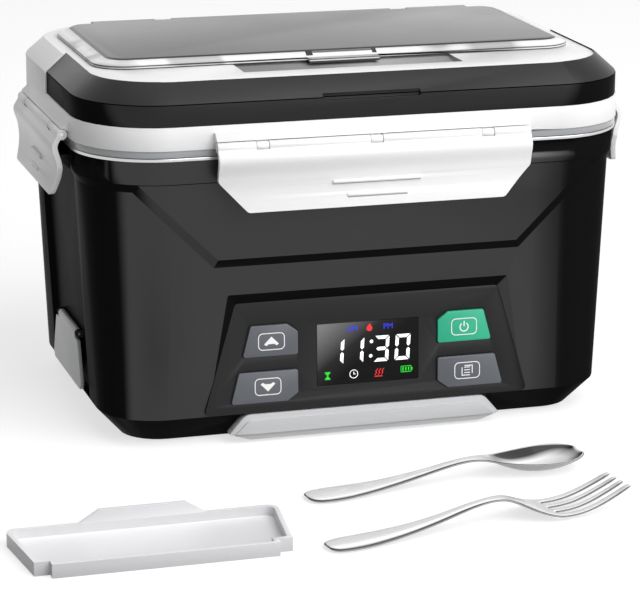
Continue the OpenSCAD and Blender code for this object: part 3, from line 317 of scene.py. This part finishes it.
def paintCoverLight(tree, s):
    height = alongAxis(tree, (0, 0, 1), plateTop - s["edgeHigh"], plateTop)
    outside = rampOver(tree, spread(tree, facingUp(tree), -1.0, 1.0), s["outside"])
    edge = mathOn(tree, "MULTIPLY", rampOver(tree, height, s["edgeEnds"]), outside)
    # Painted highlight and dark lines on the plate's edge, then painted streaks in it
    tintBase(tree, rampOver(tree, height, s["edge"]), amount=edge)
    coords = tree.nodes.new("ShaderNodeTexCoord")
    streak = tree.nodes.new("ShaderNodeTexNoise")
    streak.inputs["Scale"].default_value = s["streakScale"]
    tree.links.new(coords.outputs["Object"], streak.inputs["Vector"])
    tintBase(tree, rampOver(tree, streak.outputs["Fac"], s["streaks"]), "MULTIPLY", edge)
    for (x, y, z), half, shade in s["notch"]:
        tintBase(tree, shade, amount=inBox(tree, (x, y, plateTop + z), half))


paintCoverLight(finishes["smoked"].node_tree, coverPaintedLight)

# The finger scoop in the deck lies in the cover's shade
scoop = {
    "middle": (0, -46, -6.3), "half": (48.5, 10, 2.24), "reach": 48,
    "shades": [(0.0, 0.26), (0.35, 0.3), (0.6, 0.5), (1.0, 0.34)],
}


def shadeScoop(tree, s):
    x, y, z = s["middle"]
    shade = rampOver(tree, alongAxis(tree, (1, 0, 0), -s["reach"], s["reach"]), s["shades"])
    tintBase(tree, shade, amount=inBox(tree, (x, y, plateTop + z), s["half"]))


shadeScoop(deckWhite.node_tree, scoop)

# A soft shadow line under each grip rib of the clips
clipRibs = {
    "clips": (((0, -85), (19, 9)), ((0, 85), (19, 9)), ((-120, 0), (9, 10)), ((120, 0), (9, 10))),
    "lines": ((17.15, 1.0), (22.85, 0.68)),  # mm under the clips' hinge, share of the rib's width
    "hingeZ": 129.8, "halfLine": 0.2, "shade": 0.3,
}


def shadeRibs(tree, s):
    ribs = []
    for (atX, atY), (overX, overY) in s["clips"]:
        for drop, share in s["lines"]:
            spanX, spanY = (overX * share, overY) if atX == 0 else (overX, overY * share)
            ribs.append(inBox(tree, (atX, atY, s["hingeZ"] - drop), (spanX, spanY, s["halfLine"])))
    while len(ribs) > 1:
        ribs = [mathOn(tree, "MAXIMUM", ribs[0], ribs[1])] + ribs[2:]
    tintBase(tree, s["shade"], amount=ribs[0])


shadeRibs(clipWhite.node_tree, clipRibs)

# A fine shadow line under the guard's crease and a deep slot in its front
guardShades = {
    "hollows": [((0, 0, -11.35), (200, 200, 0.22)), ((0, -85, -11.2), (20.9, 4, 1.28))],
    "hollowShade": 0.002,
    "sheen": 0.26,
    "fade": (0.105, 0.22, 0.01),
    "slope": (0.1, 0.35),  # faces that lean back this far keep their sheen
}


def shadeGuard(tree, s):
    hollows = [inBox(tree, (x, y, plateTop + z), half) for (x, y, z), half in s["hollows"]]
    hollow = mathOn(tree, "MAXIMUM", *hollows)
    glance = tree.nodes.new("ShaderNodeLayerWeight")
    start, end, left = s["fade"]
    faded = spread(tree, glance.outputs["Facing"], start, end, 1.0, left, "SMOOTHSTEP")
    kept = mathOn(tree, "MAXIMUM", faded, spread(tree, facingUp(tree), *s["slope"]))
    sheen = mathOn(tree, "MULTIPLY", kept, spread(tree, hollow, start=s["sheen"], end=0.0))
    tree.links.new(sheen, tree.nodes["Principled BSDF"].inputs["Specular IOR Level"])
    tintBase(tree, s["hollowShade"], amount=hollow)


shadeGuard(guardBlack.node_tree, guardShades)

# Light from the upper left fades across the display glass
glassLight = {
    "axis": (-0.6, 0, 0.8), "from": 27, "to": 50,
    "shades": [(0.0, 0.004), (0.35, 0.02), (1.0, 0.22)],
}
glassTree = finishes["display_glass"].node_tree
glassFade = alongAxis(glassTree, glassLight["axis"], glassLight["from"], glassLight["to"])
tintBase(glassTree, rampOver(glassTree, glassFade, glassLight["shades"]))

# Painted light over how far a face looks up: a painted reflection on the polished steel, as of a white room,
# and painted shade that makes the divider's walls greyer than its faces that look up
upPaintedLight = (
    (tableSteel, [(0.0, 0.5), (0.3, 0.15), (0.5, 0.01), (0.84, 0.02), (0.9, 0.6), (0.935, 1.0)]),
    (dividerWhite, [(0.3, 0.72), (0.7, 1.0)]),
)
for material, shades in upPaintedLight:
    tree = material.node_tree
    tintBase(tree, rampOver(tree, facingUp(tree), shades), "MULTIPLY")

slotOf = {row["node"]: row["material_slot"] for row in frame["record"]["subparts"]}
for nodeName, node in frame["nodes"].items():
    node.data.materials.clear()
    node.data.materials.append(finishes[slotOf[nodeName]])
print("stage: materials made")


def only(obj):
    bpy.ops.object.select_all(action="DESELECT")
    obj.select_set(True)
    bpy.context.view_layer.objects.active = obj


# Applies all modifiers of an object
def applyAll(obj):
    only(obj)
    for modifier in list(obj.modifiers):
        bpy.ops.object.modifier_apply(modifier=modifier.name)


# Puts a piece's place in its mesh, names it and says what it rides on, wears and replaces
def finishPiece(obj, name, body, slot, material=None, nodes=(), angle=32):
    only(obj)
    bpy.ops.object.transform_apply(location=True, rotation=True, scale=True)
    bpy.ops.object.shade_smooth_by_angle(angle=math.radians(angle))
    obj.name = name
    obj.data.name = name
    obj.data.materials.clear()
    obj.data.materials.append(material or finishes[slot])
    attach(obj, body)
    if nodes:
        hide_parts(*nodes)


bodyOf = {n: b for b, names in frame["record"]["behaviour"]["bodies"].items() for n in names}
mouldings = {  # node: (piece, edge radius in mm, sharpest angle that stays smooth)
    "outer_shell": ("bodyShell", 0.3, 13),
    "base_tray": ("basePan", 0.4, 30),
    "front_strip": ("frontBar", 0.7, 30),
    "control_panel": ("panelPlate", 0.2, 30),
    "key_up": ("upButton", 0.3, 30),
    "key_down": ("downButton", 0.3, 30),
    "key_power": ("powerButton", 0.3, 30),
    "key_menu": ("menuButton", 0.3, 30),
    "lid_frame": ("lidMoulding", 0.4, 30),
    "lid_bumper": ("lidGuard", 0.45, 30),
    "utensil_cover": ("cutleryCover", 0.3, 12),
    "latch_front": ("frontClip", 0.35, 30),
    "latch_rear": ("rearClip", 0.35, 30),
    "latch_left": ("leftClip", 0.35, 30),
    "latch_right": ("rightClip", 0.35, 30),
    "port_cover": ("portFlap", 0.3, 30),
    "food_container": ("steelBowl", 0.2, 30),
    "lid_inner": ("innerLid", 0.3, 30),
}
ownFinish = {
    "lid_bumper": guardBlack, "lid_frame": deckWhite,
    "latch_front": clipWhite, "latch_rear": clipWhite, "latch_left": clipWhite, "latch_right": clipWhite,
}
edgeSettings = {"steps": 2, "flat": 0.6}  # bevel steps, and degrees under which faces are one


# A copy of a solid with its loose triangles merged and its edges rounded
def softened(nodeName, width, limit):
    source = frame["nodes"][nodeName]
    obj = source.copy()
    obj.data = source.data.copy()
    obj.parent = None
    obj.matrix_world = source.matrix_world.copy()
    bpy.context.scene.collection.objects.link(obj)
    only(obj)
    bpy.ops.object.mode_set(mode="EDIT")
    bpy.ops.mesh.select_all(action="SELECT")
    bpy.ops.mesh.remove_doubles(threshold=0.00001)
    bpy.ops.mesh.dissolve_limited(angle_limit=math.radians(edgeSettings["flat"]))
    bpy.ops.object.mode_set(mode="OBJECT")
    bevel = obj.modifiers.new("edges", "BEVEL")
    bevel.width = width * milli
    bevel.segments = edgeSettings["steps"]
    bevel.limit_method = "ANGLE"
    bevel.angle_limit = math.radians(limit)
    bevel.harden_normals = False
    applyAll(obj)
    return obj


for nodeName, (pieceName, edge, angle) in mouldings.items():
    piece = softened(nodeName, edge, angle)
    finish = ownFinish.get(nodeName)
    finishPiece(piece, pieceName, bodyOf[nodeName], slotOf[nodeName], finish, (nodeName,), angle)
print("stage: mouldings softened")


# A flat outline in mm given a thickness, or only a frame of the given line width
def flatShape(points, depth, line=0.0):
    bpy.ops.object.select_all(action="DESELECT")
    bpy.ops.mesh.primitive_circle_add(vertices=len(points), radius=0.01, fill_type="NGON")
    obj = bpy.context.object
    for vertex, (x, y) in zip(obj.data.vertices, points):
        vertex.co = (x * milli, y * milli, 0)
    bpy.ops.object.mode_set(mode="EDIT")
    bpy.ops.mesh.select_all(action="SELECT")
    if line:
        bpy.ops.mesh.inset(thickness=line * milli, depth=0)
        bpy.ops.mesh.delete(type="FACE")
        bpy.ops.mesh.select_all(action="SELECT")
    bpy.ops.mesh.extrude_region_move(TRANSFORM_OT_translate={"value": (0, 0, depth * milli)})
    bpy.ops.mesh.select_all(action="SELECT")
    bpy.ops.mesh.normals_make_consistent(inside=False)
    bpy.ops.object.mode_set(mode="OBJECT")
    return obj


def roundedBox(cx, cy, w, h, r, steps=5):
    corners = ((w / 2 - r, h / 2 - r, 0), (-w / 2 + r, h / 2 - r, 90),
               (-w / 2 + r, -h / 2 + r, 180), (w / 2 - r, -h / 2 + r, 270))
    points = []
    for x, y, start in corners:
        for i in range(steps + 1):
            a = math.radians(start + 90 * i / steps)
            points.append((cx + x + r * math.cos(a), cy + y + r * math.sin(a)))
    return points


dividerSettings = {
    "place": (-119.5, -209, 0),
    "lowHalf": 49.6, "topHalf": 53.5, "deep": 42.0, "ear": 6.0, "notch": 4.0,
    "cornerRound": 4.5, "wall": 1.9, "floor": 1.8, "rim": 5.5, "edge": 0.35,
    "innerRound": 0.6,  # share of the wall by which the pocket's corners are tighter
    "pocket": 8,  # height of the tool that cuts the pocket
    "tabLap": 0.01,
    "tab": [(-25, 0.5), (25, 0.5), (25, 5.5), (17, 10.4), (-17, 10.4), (-25, 5.5)],
}


def dividerOutline(s, inset):
    low, top, ear, notch = s["lowHalf"] - inset, s["topHalf"] - inset, s["ear"], s["notch"] + inset
    r, high = s["cornerRound"] - inset * s["innerRound"], s["deep"] - inset
    points = [(-low + ear, inset), (low - ear, inset), (low - ear, notch), (low, notch)]
    turn = [math.radians(15 * k) for k in range(7)]
    for side in (1, -1):
        corner = [(side * (top - r + r * math.cos(t)), high - r + r * math.sin(t)) for t in turn]
        points += corner if side > 0 else corner[::-1]
    return points + [(-low, notch), (-low + ear, notch)]


def carve(obj, other, way):
    cut = obj.modifiers.new("cut", "BOOLEAN")
    cut.object = other
    cut.operation = way
    cut.solver = "EXACT"
    applyAll(obj)
    bpy.data.objects.remove(other, do_unlink=True)


def addDivider(s):
    divider = flatShape(dividerOutline(s, 0), s["rim"])
    pocket = flatShape(dividerOutline(s, s["wall"]), s["pocket"])
    pocket.location.z = s["floor"] * milli
    carve(divider, pocket, "DIFFERENCE")
    tab = flatShape(s["tab"], s["wall"] - 2 * s["tabLap"])
    tab.rotation_euler = (math.radians(90), 0, 0)
    tab.location.y = (s["deep"] - s["tabLap"]) * milli
    carve(divider, tab, "UNION")
    rim = divider.modifiers.new("edges", "BEVEL")
    rim.width = s["edge"] * milli
    rim.segments = 2
    rim.angle_limit = math.radians(30)
    applyAll(divider)
    divider.location = Vector(s["place"]) * milli
    node = "container_divider"
    finishPiece(divider, "foodDivider", bodyOf[node], slotOf[node], dividerWhite, (node,))


addDivider(dividerSettings)
print("stage: divider shaped")


# Rows along a piece of cutlery: distance from the handle's end, half width, edge height, middle height
spoonSettings = {
    "place": (-49.2, -151.6, 0), "turn": 5.7, "slots": (),
    "columns": (-1, -0.82, -0.55, -0.28, 0, 0.28, 0.55, 0.82, 1),
    "rows": [
        (0, 2.2, 1.2, 1.7), (0.6, 4.2, 1.2, 2.0), (2, 6.0, 1.2, 2.3), (4.5, 7.4, 1.2, 2.6),
        (9, 8.0, 1.2, 2.8), (15, 7.9, 1.3, 2.9), (22, 7.0, 1.6, 3.1), (32, 5.4, 2.3, 3.7),
        (46, 3.8, 4.2, 5.4), (58, 2.9, 6.5, 7.5), (68, 2.5, 8.3, 9.1), (75, 2.9, 8.7, 9.2),
        (80, 4.0, 8.2, 8.0), (84, 6.0, 7.6, 6.1), (88, 7.6, 7.2, 4.2), (93, 9.4, 6.9, 2.5),
        (98, 10.9, 6.8, 1.5), (104, 12.0, 6.8, 1.15), (109, 12.3, 6.9, 1.6), (113.5, 11.5, 7.0, 2.7),
        (117, 9.7, 7.05, 4.1), (119.8, 7.0, 7.1, 5.5), (121.6, 3.6, 7.1, 6.6),
    ],
}
forkSettings = {
    "place": (-57.6, -207.9, 0), "turn": 9.5, "slots": (2, 5, 8), "slotStart": 97, "tineHalf": 10.4,
    "columns": (-1, -0.828, -0.656, -0.408, -0.266, -0.124, 0.124, 0.266, 0.408, 0.656, 0.828, 1),
    "rows": [
        (0, 2.2, 1.2, 1.7), (0.6, 4.0, 1.2, 2.0), (2, 5.6, 1.2, 2.3), (4.5, 6.7, 1.2, 2.6),
        (9, 7.2, 1.2, 2.8), (15, 7.2, 1.3, 2.9), (22, 6.6, 1.6, 3.2), (33, 5.2, 2.6, 3.9),
        (48, 3.7, 4.9, 6.1), (60, 2.8, 7.9, 8.9), (70, 2.5, 9.8, 10.4), (76, 2.8, 9.9, 10.2),
        (80, 3.7, 8.9, 8.8), (84, 5.6, 7.1, 6.8), (88, 8.2, 5.2, 4.9), (92, 10.1, 3.7, 3.4),
        (95.5, 10.8, 2.8, 2.6), (97.5, 10.9, 2.4, 2.2), (101, 10.9, 2.1, 2.0), (107, 10.8, 2.4, 2.3),
        (113, 10.5, 3.7, 3.6), (119, 10.2, 5.7, 5.7), (125, 9.8, 8.1, 8.1), (129.4, 9.5, 10.1, 10.1),
    ],
}
steelSheet = {"thick": 1.05, "bowlCurve": 2.2, "handleCurve": 3.6, "slotMatch": 0.06}


def cutSlots(obj, s):
    bpy.ops.object.mode_set(mode="EDIT")
    bpy.ops.mesh.select_mode(type="FACE")
    bpy.ops.mesh.select_all(action="DESELECT")
    bpy.ops.object.mode_set(mode="OBJECT")
    columns = s["columns"]
    gaps = [(columns[k] + columns[k + 1]) / 2 for k in s["slots"]]
    for face in obj.data.polygons:
        middle = sum((obj.data.vertices[v].co for v in face.vertices), Vector()) / len(face.vertices)
        if middle.x > s["slotStart"] * milli:
            across = middle.y / milli / s["tineHalf"]
            face.select = any(abs(across - gap) < steelSheet["slotMatch"] for gap in gaps)
    bpy.ops.object.mode_set(mode="EDIT")
    bpy.ops.mesh.delete(type="FACE")
    bpy.ops.mesh.select_mode(type="VERT")
    bpy.ops.object.mode_set(mode="OBJECT")


def cutleryPiece(s, name, nodeName):
    bpy.ops.object.select_all(action="DESELECT")
    rows, columns = s["rows"], s["columns"]
    across, along = len(columns) - 1, len(rows) - 1
    bpy.ops.mesh.primitive_grid_add(x_subdivisions=along, y_subdivisions=across, size=2)
    obj = bpy.context.object
    for vertex in obj.data.vertices:
        i = round((vertex.co.x + 1) / 2 * along)
        j = round((vertex.co.y + 1) / 2 * across)
        x, half, edge, middle = rows[i]
        curve = steelSheet["bowlCurve"] if edge > middle else steelSheet["handleCurve"]
        rise = middle + (edge - middle) * abs(columns[j]) ** curve
        vertex.co = (x * milli, columns[j] * half * milli, rise * milli)
    if s["slots"]:
        cutSlots(obj, s)
    sheet = obj.modifiers.new("sheet", "SOLIDIFY")
    sheet.thickness = steelSheet["thick"] * milli
    sheet.offset = -1
    smooth = obj.modifiers.new("smooth", "SUBSURF")
    smooth.levels = 2
    applyAll(obj)
    obj.rotation_euler = (0, 0, math.radians(s["turn"]))
    obj.location = Vector(s["place"]) * milli
    finishPiece(obj, name, bodyOf[nodeName], slotOf[nodeName], tableSteel, (nodeName,), 60)


cutleryPiece(spoonSettings, "tableSpoon", "spoon")
cutleryPiece(forkSettings, "tableFork", "fork")
print("stage: cutlery shaped")


# Marks lie on the panel's leaning face: x and y in mm from its middle and its lower edge
panelFrame = {"shift": 0.8, "faceY": -75.3, "baseZ": 13.0, "lean": 2.4}


def joinMarks(shapes, name, height, body, material, slot):
    bpy.ops.object.select_all(action="DESELECT")
    for shape in shapes:
        shape.select_set(True)
    bpy.context.view_layer.objects.active = shapes[0]
    if len(shapes) > 1:
        bpy.ops.object.join()
    obj = bpy.context.object
    place = Vector((panelFrame["shift"], panelFrame["faceY"], panelFrame["baseZ"])) * milli
    turn = Matrix.Rotation(math.radians(90 - panelFrame["lean"]), 4, "X")
    obj.matrix_world = Matrix.Translation(place) @ turn @ Matrix.Translation((0, 0, height * milli))
    finishPiece(obj, name, body, slot, material)


def moved(points, x, y):
    return [(x + px, y + py) for px, py in points]


def bar(x0, y0, x1, y1):
    return [(x0, y0), (x1, y0), (x1, y1), (x0, y1)]


def arcBand(cy, r, line, start, end, steps=20):
    turns = [math.radians(start + (end - start) * i / steps) for i in range(steps + 1)]
    far = [(r * math.cos(t), cy + r * math.sin(t)) for t in turns]
    near = [((r - line) * math.cos(t), cy + (r - line) * math.sin(t)) for t in reversed(turns)]
    return far + near


keyMarks = {
    "keys": {  # key: middle, body and piece
        "up": ((-42.6, 30.6), "up_key", "upMark"),
        "down": ((-44.3, 11.2), "down_key", "downMark"),
        "power": ((42.8, 30.6), "power_key", "powerMark"),
        "menu": ((44.3, 11.2), "menu_key", "menuMark"),
    },
    "frame": (11.6, 7.4, 2.0),  # width, height and corner radius
    "line": 0.36, "depth": 0.06,
    "height": 0.905,  # just over the keys' faces
}


def keySymbol(key):
    arrow = [(-3.2, -1.1), (0, 2.1), (3.2, -1.1), (2.3, -1.8), (1.2, -1.1), (-1.2, -1.1), (-2.3, -1.8)]
    if key == "up":
        return [arrow]
    if key == "down":
        return [[(x, -y) for x, y in reversed(arrow)]]
    if key == "power":
        return [arcBand(-0.2, 2.1, 0.5, 125, 415), bar(-0.25, 0.1, 0.25, 2.4)]
    lines = [bar(-1.3, 1.2 - 1.2 * i, 1.3, 1.55 - 1.2 * i) for i in range(3)]
    sheet = [bar(-2.5, -1.9, -2.1, 1.4), bar(2.1, -1.4, 2.5, 1.9), bar(-2.5, -2.3, 1.2, -1.9),
             bar(-1.2, 1.9, 2.5, 2.3)]
    return lines + sheet


def markKey(key, s):
    (x, y), body, pieceName = s["keys"][key]
    width, height, corner = s["frame"]
    shapes = [flatShape(roundedBox(x, y, width, height, corner), s["depth"], s["line"])]
    shapes += [flatShape(moved(points, x, y), s["depth"]) for points in keySymbol(key)]
    joinMarks(shapes, pieceName, s["height"], body, markWhite, slotOf["key_up"])


for key in keyMarks["keys"]:
    markKey(key, keyMarks)

clock = {
    "left": -17.6, "base": 18.0, "width": 6.6, "height": 11.2, "pitch": 8.8, "line": 1.45, "gap": 0.32,
    "slant": 0.06, "depth": 0.04, "over": 0.006,
    "digits": ((0, "1"), (1, "1"), (2.27, "3"), (3.34, "0")),  # place in pitches
    "colon": (2.12, (2.7, 9.0)), "dot": (1.5, 0.74),
}
segmentsOf = {"1": "bc", "3": "abgcd", "0": "abcdef"}


def segmentPoints(name, s):
    w, h, t, g = s["width"], s["height"], s["line"], s["gap"]
    half = h / 2
    right = [(w, h - g), (w - t, h - t - g), (w - t, half + t / 2 + g), (w - t / 2, half + g),
             (w, half + t / 2 + g)]
    shapes = {
        "a": [(g, h), (w - g, h), (w - t - g, h - t), (t + g, h - t)],
        "b": right,
        "c": [(x, h - y) for x, y in reversed(right)],
        "d": [(t + g, t), (w - t - g, t), (w - g, 0), (g, 0)],
        "e": [(w - x, h - y) for x, y in right],
        "f": [(w - x, y) for x, y in reversed(right)],
        "g": [(g + t / 2, half), (g + t, half - t / 2), (w - t - g, half - t / 2), (w - t / 2 - g, half),
              (w - t - g, half + t / 2), (g + t, half + t / 2)],
    }
    return shapes[name]


def addClock(s):
    outlines = []
    for place, digit in s["digits"]:
        outlines += [(place, segmentPoints(name, s)) for name in segmentsOf[digit]]
    place, heights = s["colon"]
    size, corner = s["dot"]
    outlines += [(place, roundedBox(0, y, size, size, corner)) for y in heights]
    shapes = []
    for place, points in outlines:
        leaning = [(x + s["slant"] * y, y) for x, y in points]
        shapes.append(flatShape(moved(leaning, s["left"] + place * s["pitch"], s["base"]), s["depth"]))
    joinMarks(shapes, "clockDigits", s["over"], "body", litWhite, "display_glass")


addClock(clock)

displayMarks = {
    "depth": 0.04, "over": 0.006,
    "words": (("AM", -6.9, 32.0), ("PM", 9.0, 32.0)), "wordSize": 3.5, "wordDepth": 0.02, "wordsOver": 0.03,
    "flameAt": (0.7, 33.2),
    "flame": [(0, -1.7), (1.0, -1.3), (1.35, -0.4), (1.0, 0.5), (0.5, 1.1), (0.2, 1.9), (-0.2, 1.3),
              (-0.9, 0.5), (-1.35, -0.5), (-1.0, -1.3)],
    "wavesAt": ((4.2, 12.2), (5.6, 12.2), (7.0, 12.2)),
    "wave": [(-1.3, 0), (-0.9, 0), (-0.2, 0.9), (-0.5, 1.6), (0.4, 2.8), (0, 2.8), (-0.9, 1.6), (-0.6, 0.9)],
    "hotPlate": (2.9, 11.4, 6.5, 11.8),  # a bar from corner to corner
    "hourglassAt": (-17.9, 13.4),
    "hourglass": [(-1.2, 1.7), (-1.2, 1.35), (-0.15, 0), (-1.2, -1.35), (-1.2, -1.7), (1.2, -1.7),
                  (1.2, -1.35), (0.15, 0), (1.2, 1.35), (1.2, 1.7)],
    "battery": (17.0, 13.8, 4.8, 2.8, 0.3),  # middle, width, height and corner radius
    "batteryLine": 0.3, "batteryTip": (19.4, 13.2, 19.9, 14.4),
    "cells": ((15.35, 13.0, 15.95, 14.6), (16.6, 13.0, 17.2, 14.6), (17.85, 13.0, 18.45, 14.6)),
    "dial": (-6.3, 13.4, 3.8, 3.8, 1.89), "dialLine": 0.24,
    "hands": ((-6.42, 13.3, -6.16, 14.4), (-6.42, 13.2, -5.5, 13.46)),
}


def word(text, x, y, s):
    bpy.ops.object.select_all(action="DESELECT")
    bpy.ops.object.text_add()
    obj = bpy.context.object
    obj.data.body = text
    obj.data.size = s["wordSize"] * milli
    obj.data.extrude = s["wordDepth"] * milli
    obj.data.align_x = "CENTER"
    obj.location = (x * milli, y * milli, 0)
    only(obj)
    bpy.ops.object.convert(target="MESH")
    bpy.ops.object.transform_apply(location=True, rotation=True, scale=True)
    return bpy.context.object


def addSymbols(s):
    depth = s["depth"]
    heat = [flatShape(moved(s["wave"], x, y), depth) for x, y in s["wavesAt"]]
    heat.append(flatShape(bar(*s["hotPlate"]), depth))
    heat.append(flatShape(moved(s["flame"], *s["flameAt"]), depth))
    joinMarks(heat, "heatMarks", s["over"], "body", litRed, "display_glass")
    charge = [flatShape(moved(s["hourglass"], *s["hourglassAt"]), depth)]
    charge.append(flatShape(roundedBox(*s["battery"], steps=2), depth, s["batteryLine"]))
    charge += [flatShape(bar(*corners), depth) for corners in (s["batteryTip"], *s["cells"])]
    joinMarks(charge, "chargeMarks", s["over"], "body", litGreen, "display_glass")
    dial = [flatShape(roundedBox(*s["dial"], steps=6), depth, s["dialLine"])]
    dial += [flatShape(bar(*corners), depth) for corners in s["hands"]]
    joinMarks(dial, "dialMark", s["over"], "body", litWhite, "display_glass")


noon = [word(text, x, y, displayMarks) for text, x, y in displayMarks["words"]]
joinMarks(noon, "noonMarks", displayMarks["wordsOver"], "body", litBlue, "display_glass")
addSymbols(displayMarks)
print("stage: panel marks made")


studio = {
    "floorSize": 12.0, "floorDrop": 0.0002,
    "floorColor": (0.42, 0.42, 0.42),
    "floorGlow": 0.68,
    "sky": 0.24,
    "lamps": [  # place, size, watts
        ((0.95, -1.6, 1.5), 2.4, 67.0),
        ((0.1, -0.2, 2.2), 2.0, 9.0),
    ],
    "aim": (0, 0, 0.08),
}


# 1 for what the camera, a shiny surface or clear plastic sees, 0 for the light on the object
def seenRays(tree):
    path = tree.nodes.new("ShaderNodeLightPath")
    seen = mathOn(tree, "ADD", path.outputs["Is Camera Ray"], path.outputs["Is Glossy Ray"])
    return mathOn(tree, "ADD", seen, path.outputs["Is Transmission Ray"], clamp=True)


def addFloor(s):
    bpy.ops.object.select_all(action="DESELECT")
    bpy.ops.mesh.primitive_plane_add(size=s["floorSize"], location=(0, 0, -s["floorDrop"]))
    floor = bpy.context.object
    floor.name = "floorSheet"
    only(floor)
    bpy.ops.object.transform_apply(location=True, rotation=True, scale=True)
    material = bpy.data.materials.new("floorWhite")
    material.use_nodes = True
    tree = material.node_tree
    shader = tree.nodes["Principled BSDF"]
    shader.inputs["Base Color"].default_value = (*s["floorColor"], 1)
    shader.inputs["Roughness"].default_value = 0.9
    shader.inputs["Specular IOR Level"].default_value = 0.0
    shader.inputs["Emission Color"].default_value = (1, 1, 1, 1)
    glow = mathOn(tree, "MULTIPLY", seenRays(tree), s["floorGlow"])
    tree.links.new(glow, shader.inputs["Emission Strength"])
    floor.data.materials.append(material)


def addSky(s):
    world = bpy.data.worlds.new("studio")
    bpy.context.scene.world = world
    world.use_nodes = True
    tree = world.node_tree
    ground = tree.nodes["Background"]
    ground.inputs["Color"].default_value = (1, 1, 1, 1)
    tree.links.new(spread(tree, seenRays(tree), start=s["sky"], end=1.0), ground.inputs["Strength"])


def addLamp(place, size, watts, aim):
    bpy.ops.object.light_add(type="AREA", location=place)
    lamp = bpy.context.object
    lamp.data.size = size
    lamp.data.energy = watts
    ray = Vector(aim) - Vector(place)
    lamp.rotation_euler = ray.to_track_quat("-Z", "Y").to_euler()


addFloor(studio)
addSky(studio)
for place, size, watts in studio["lamps"]:
    addLamp(place, size, watts, studio["aim"])
print("stage: studio lit")
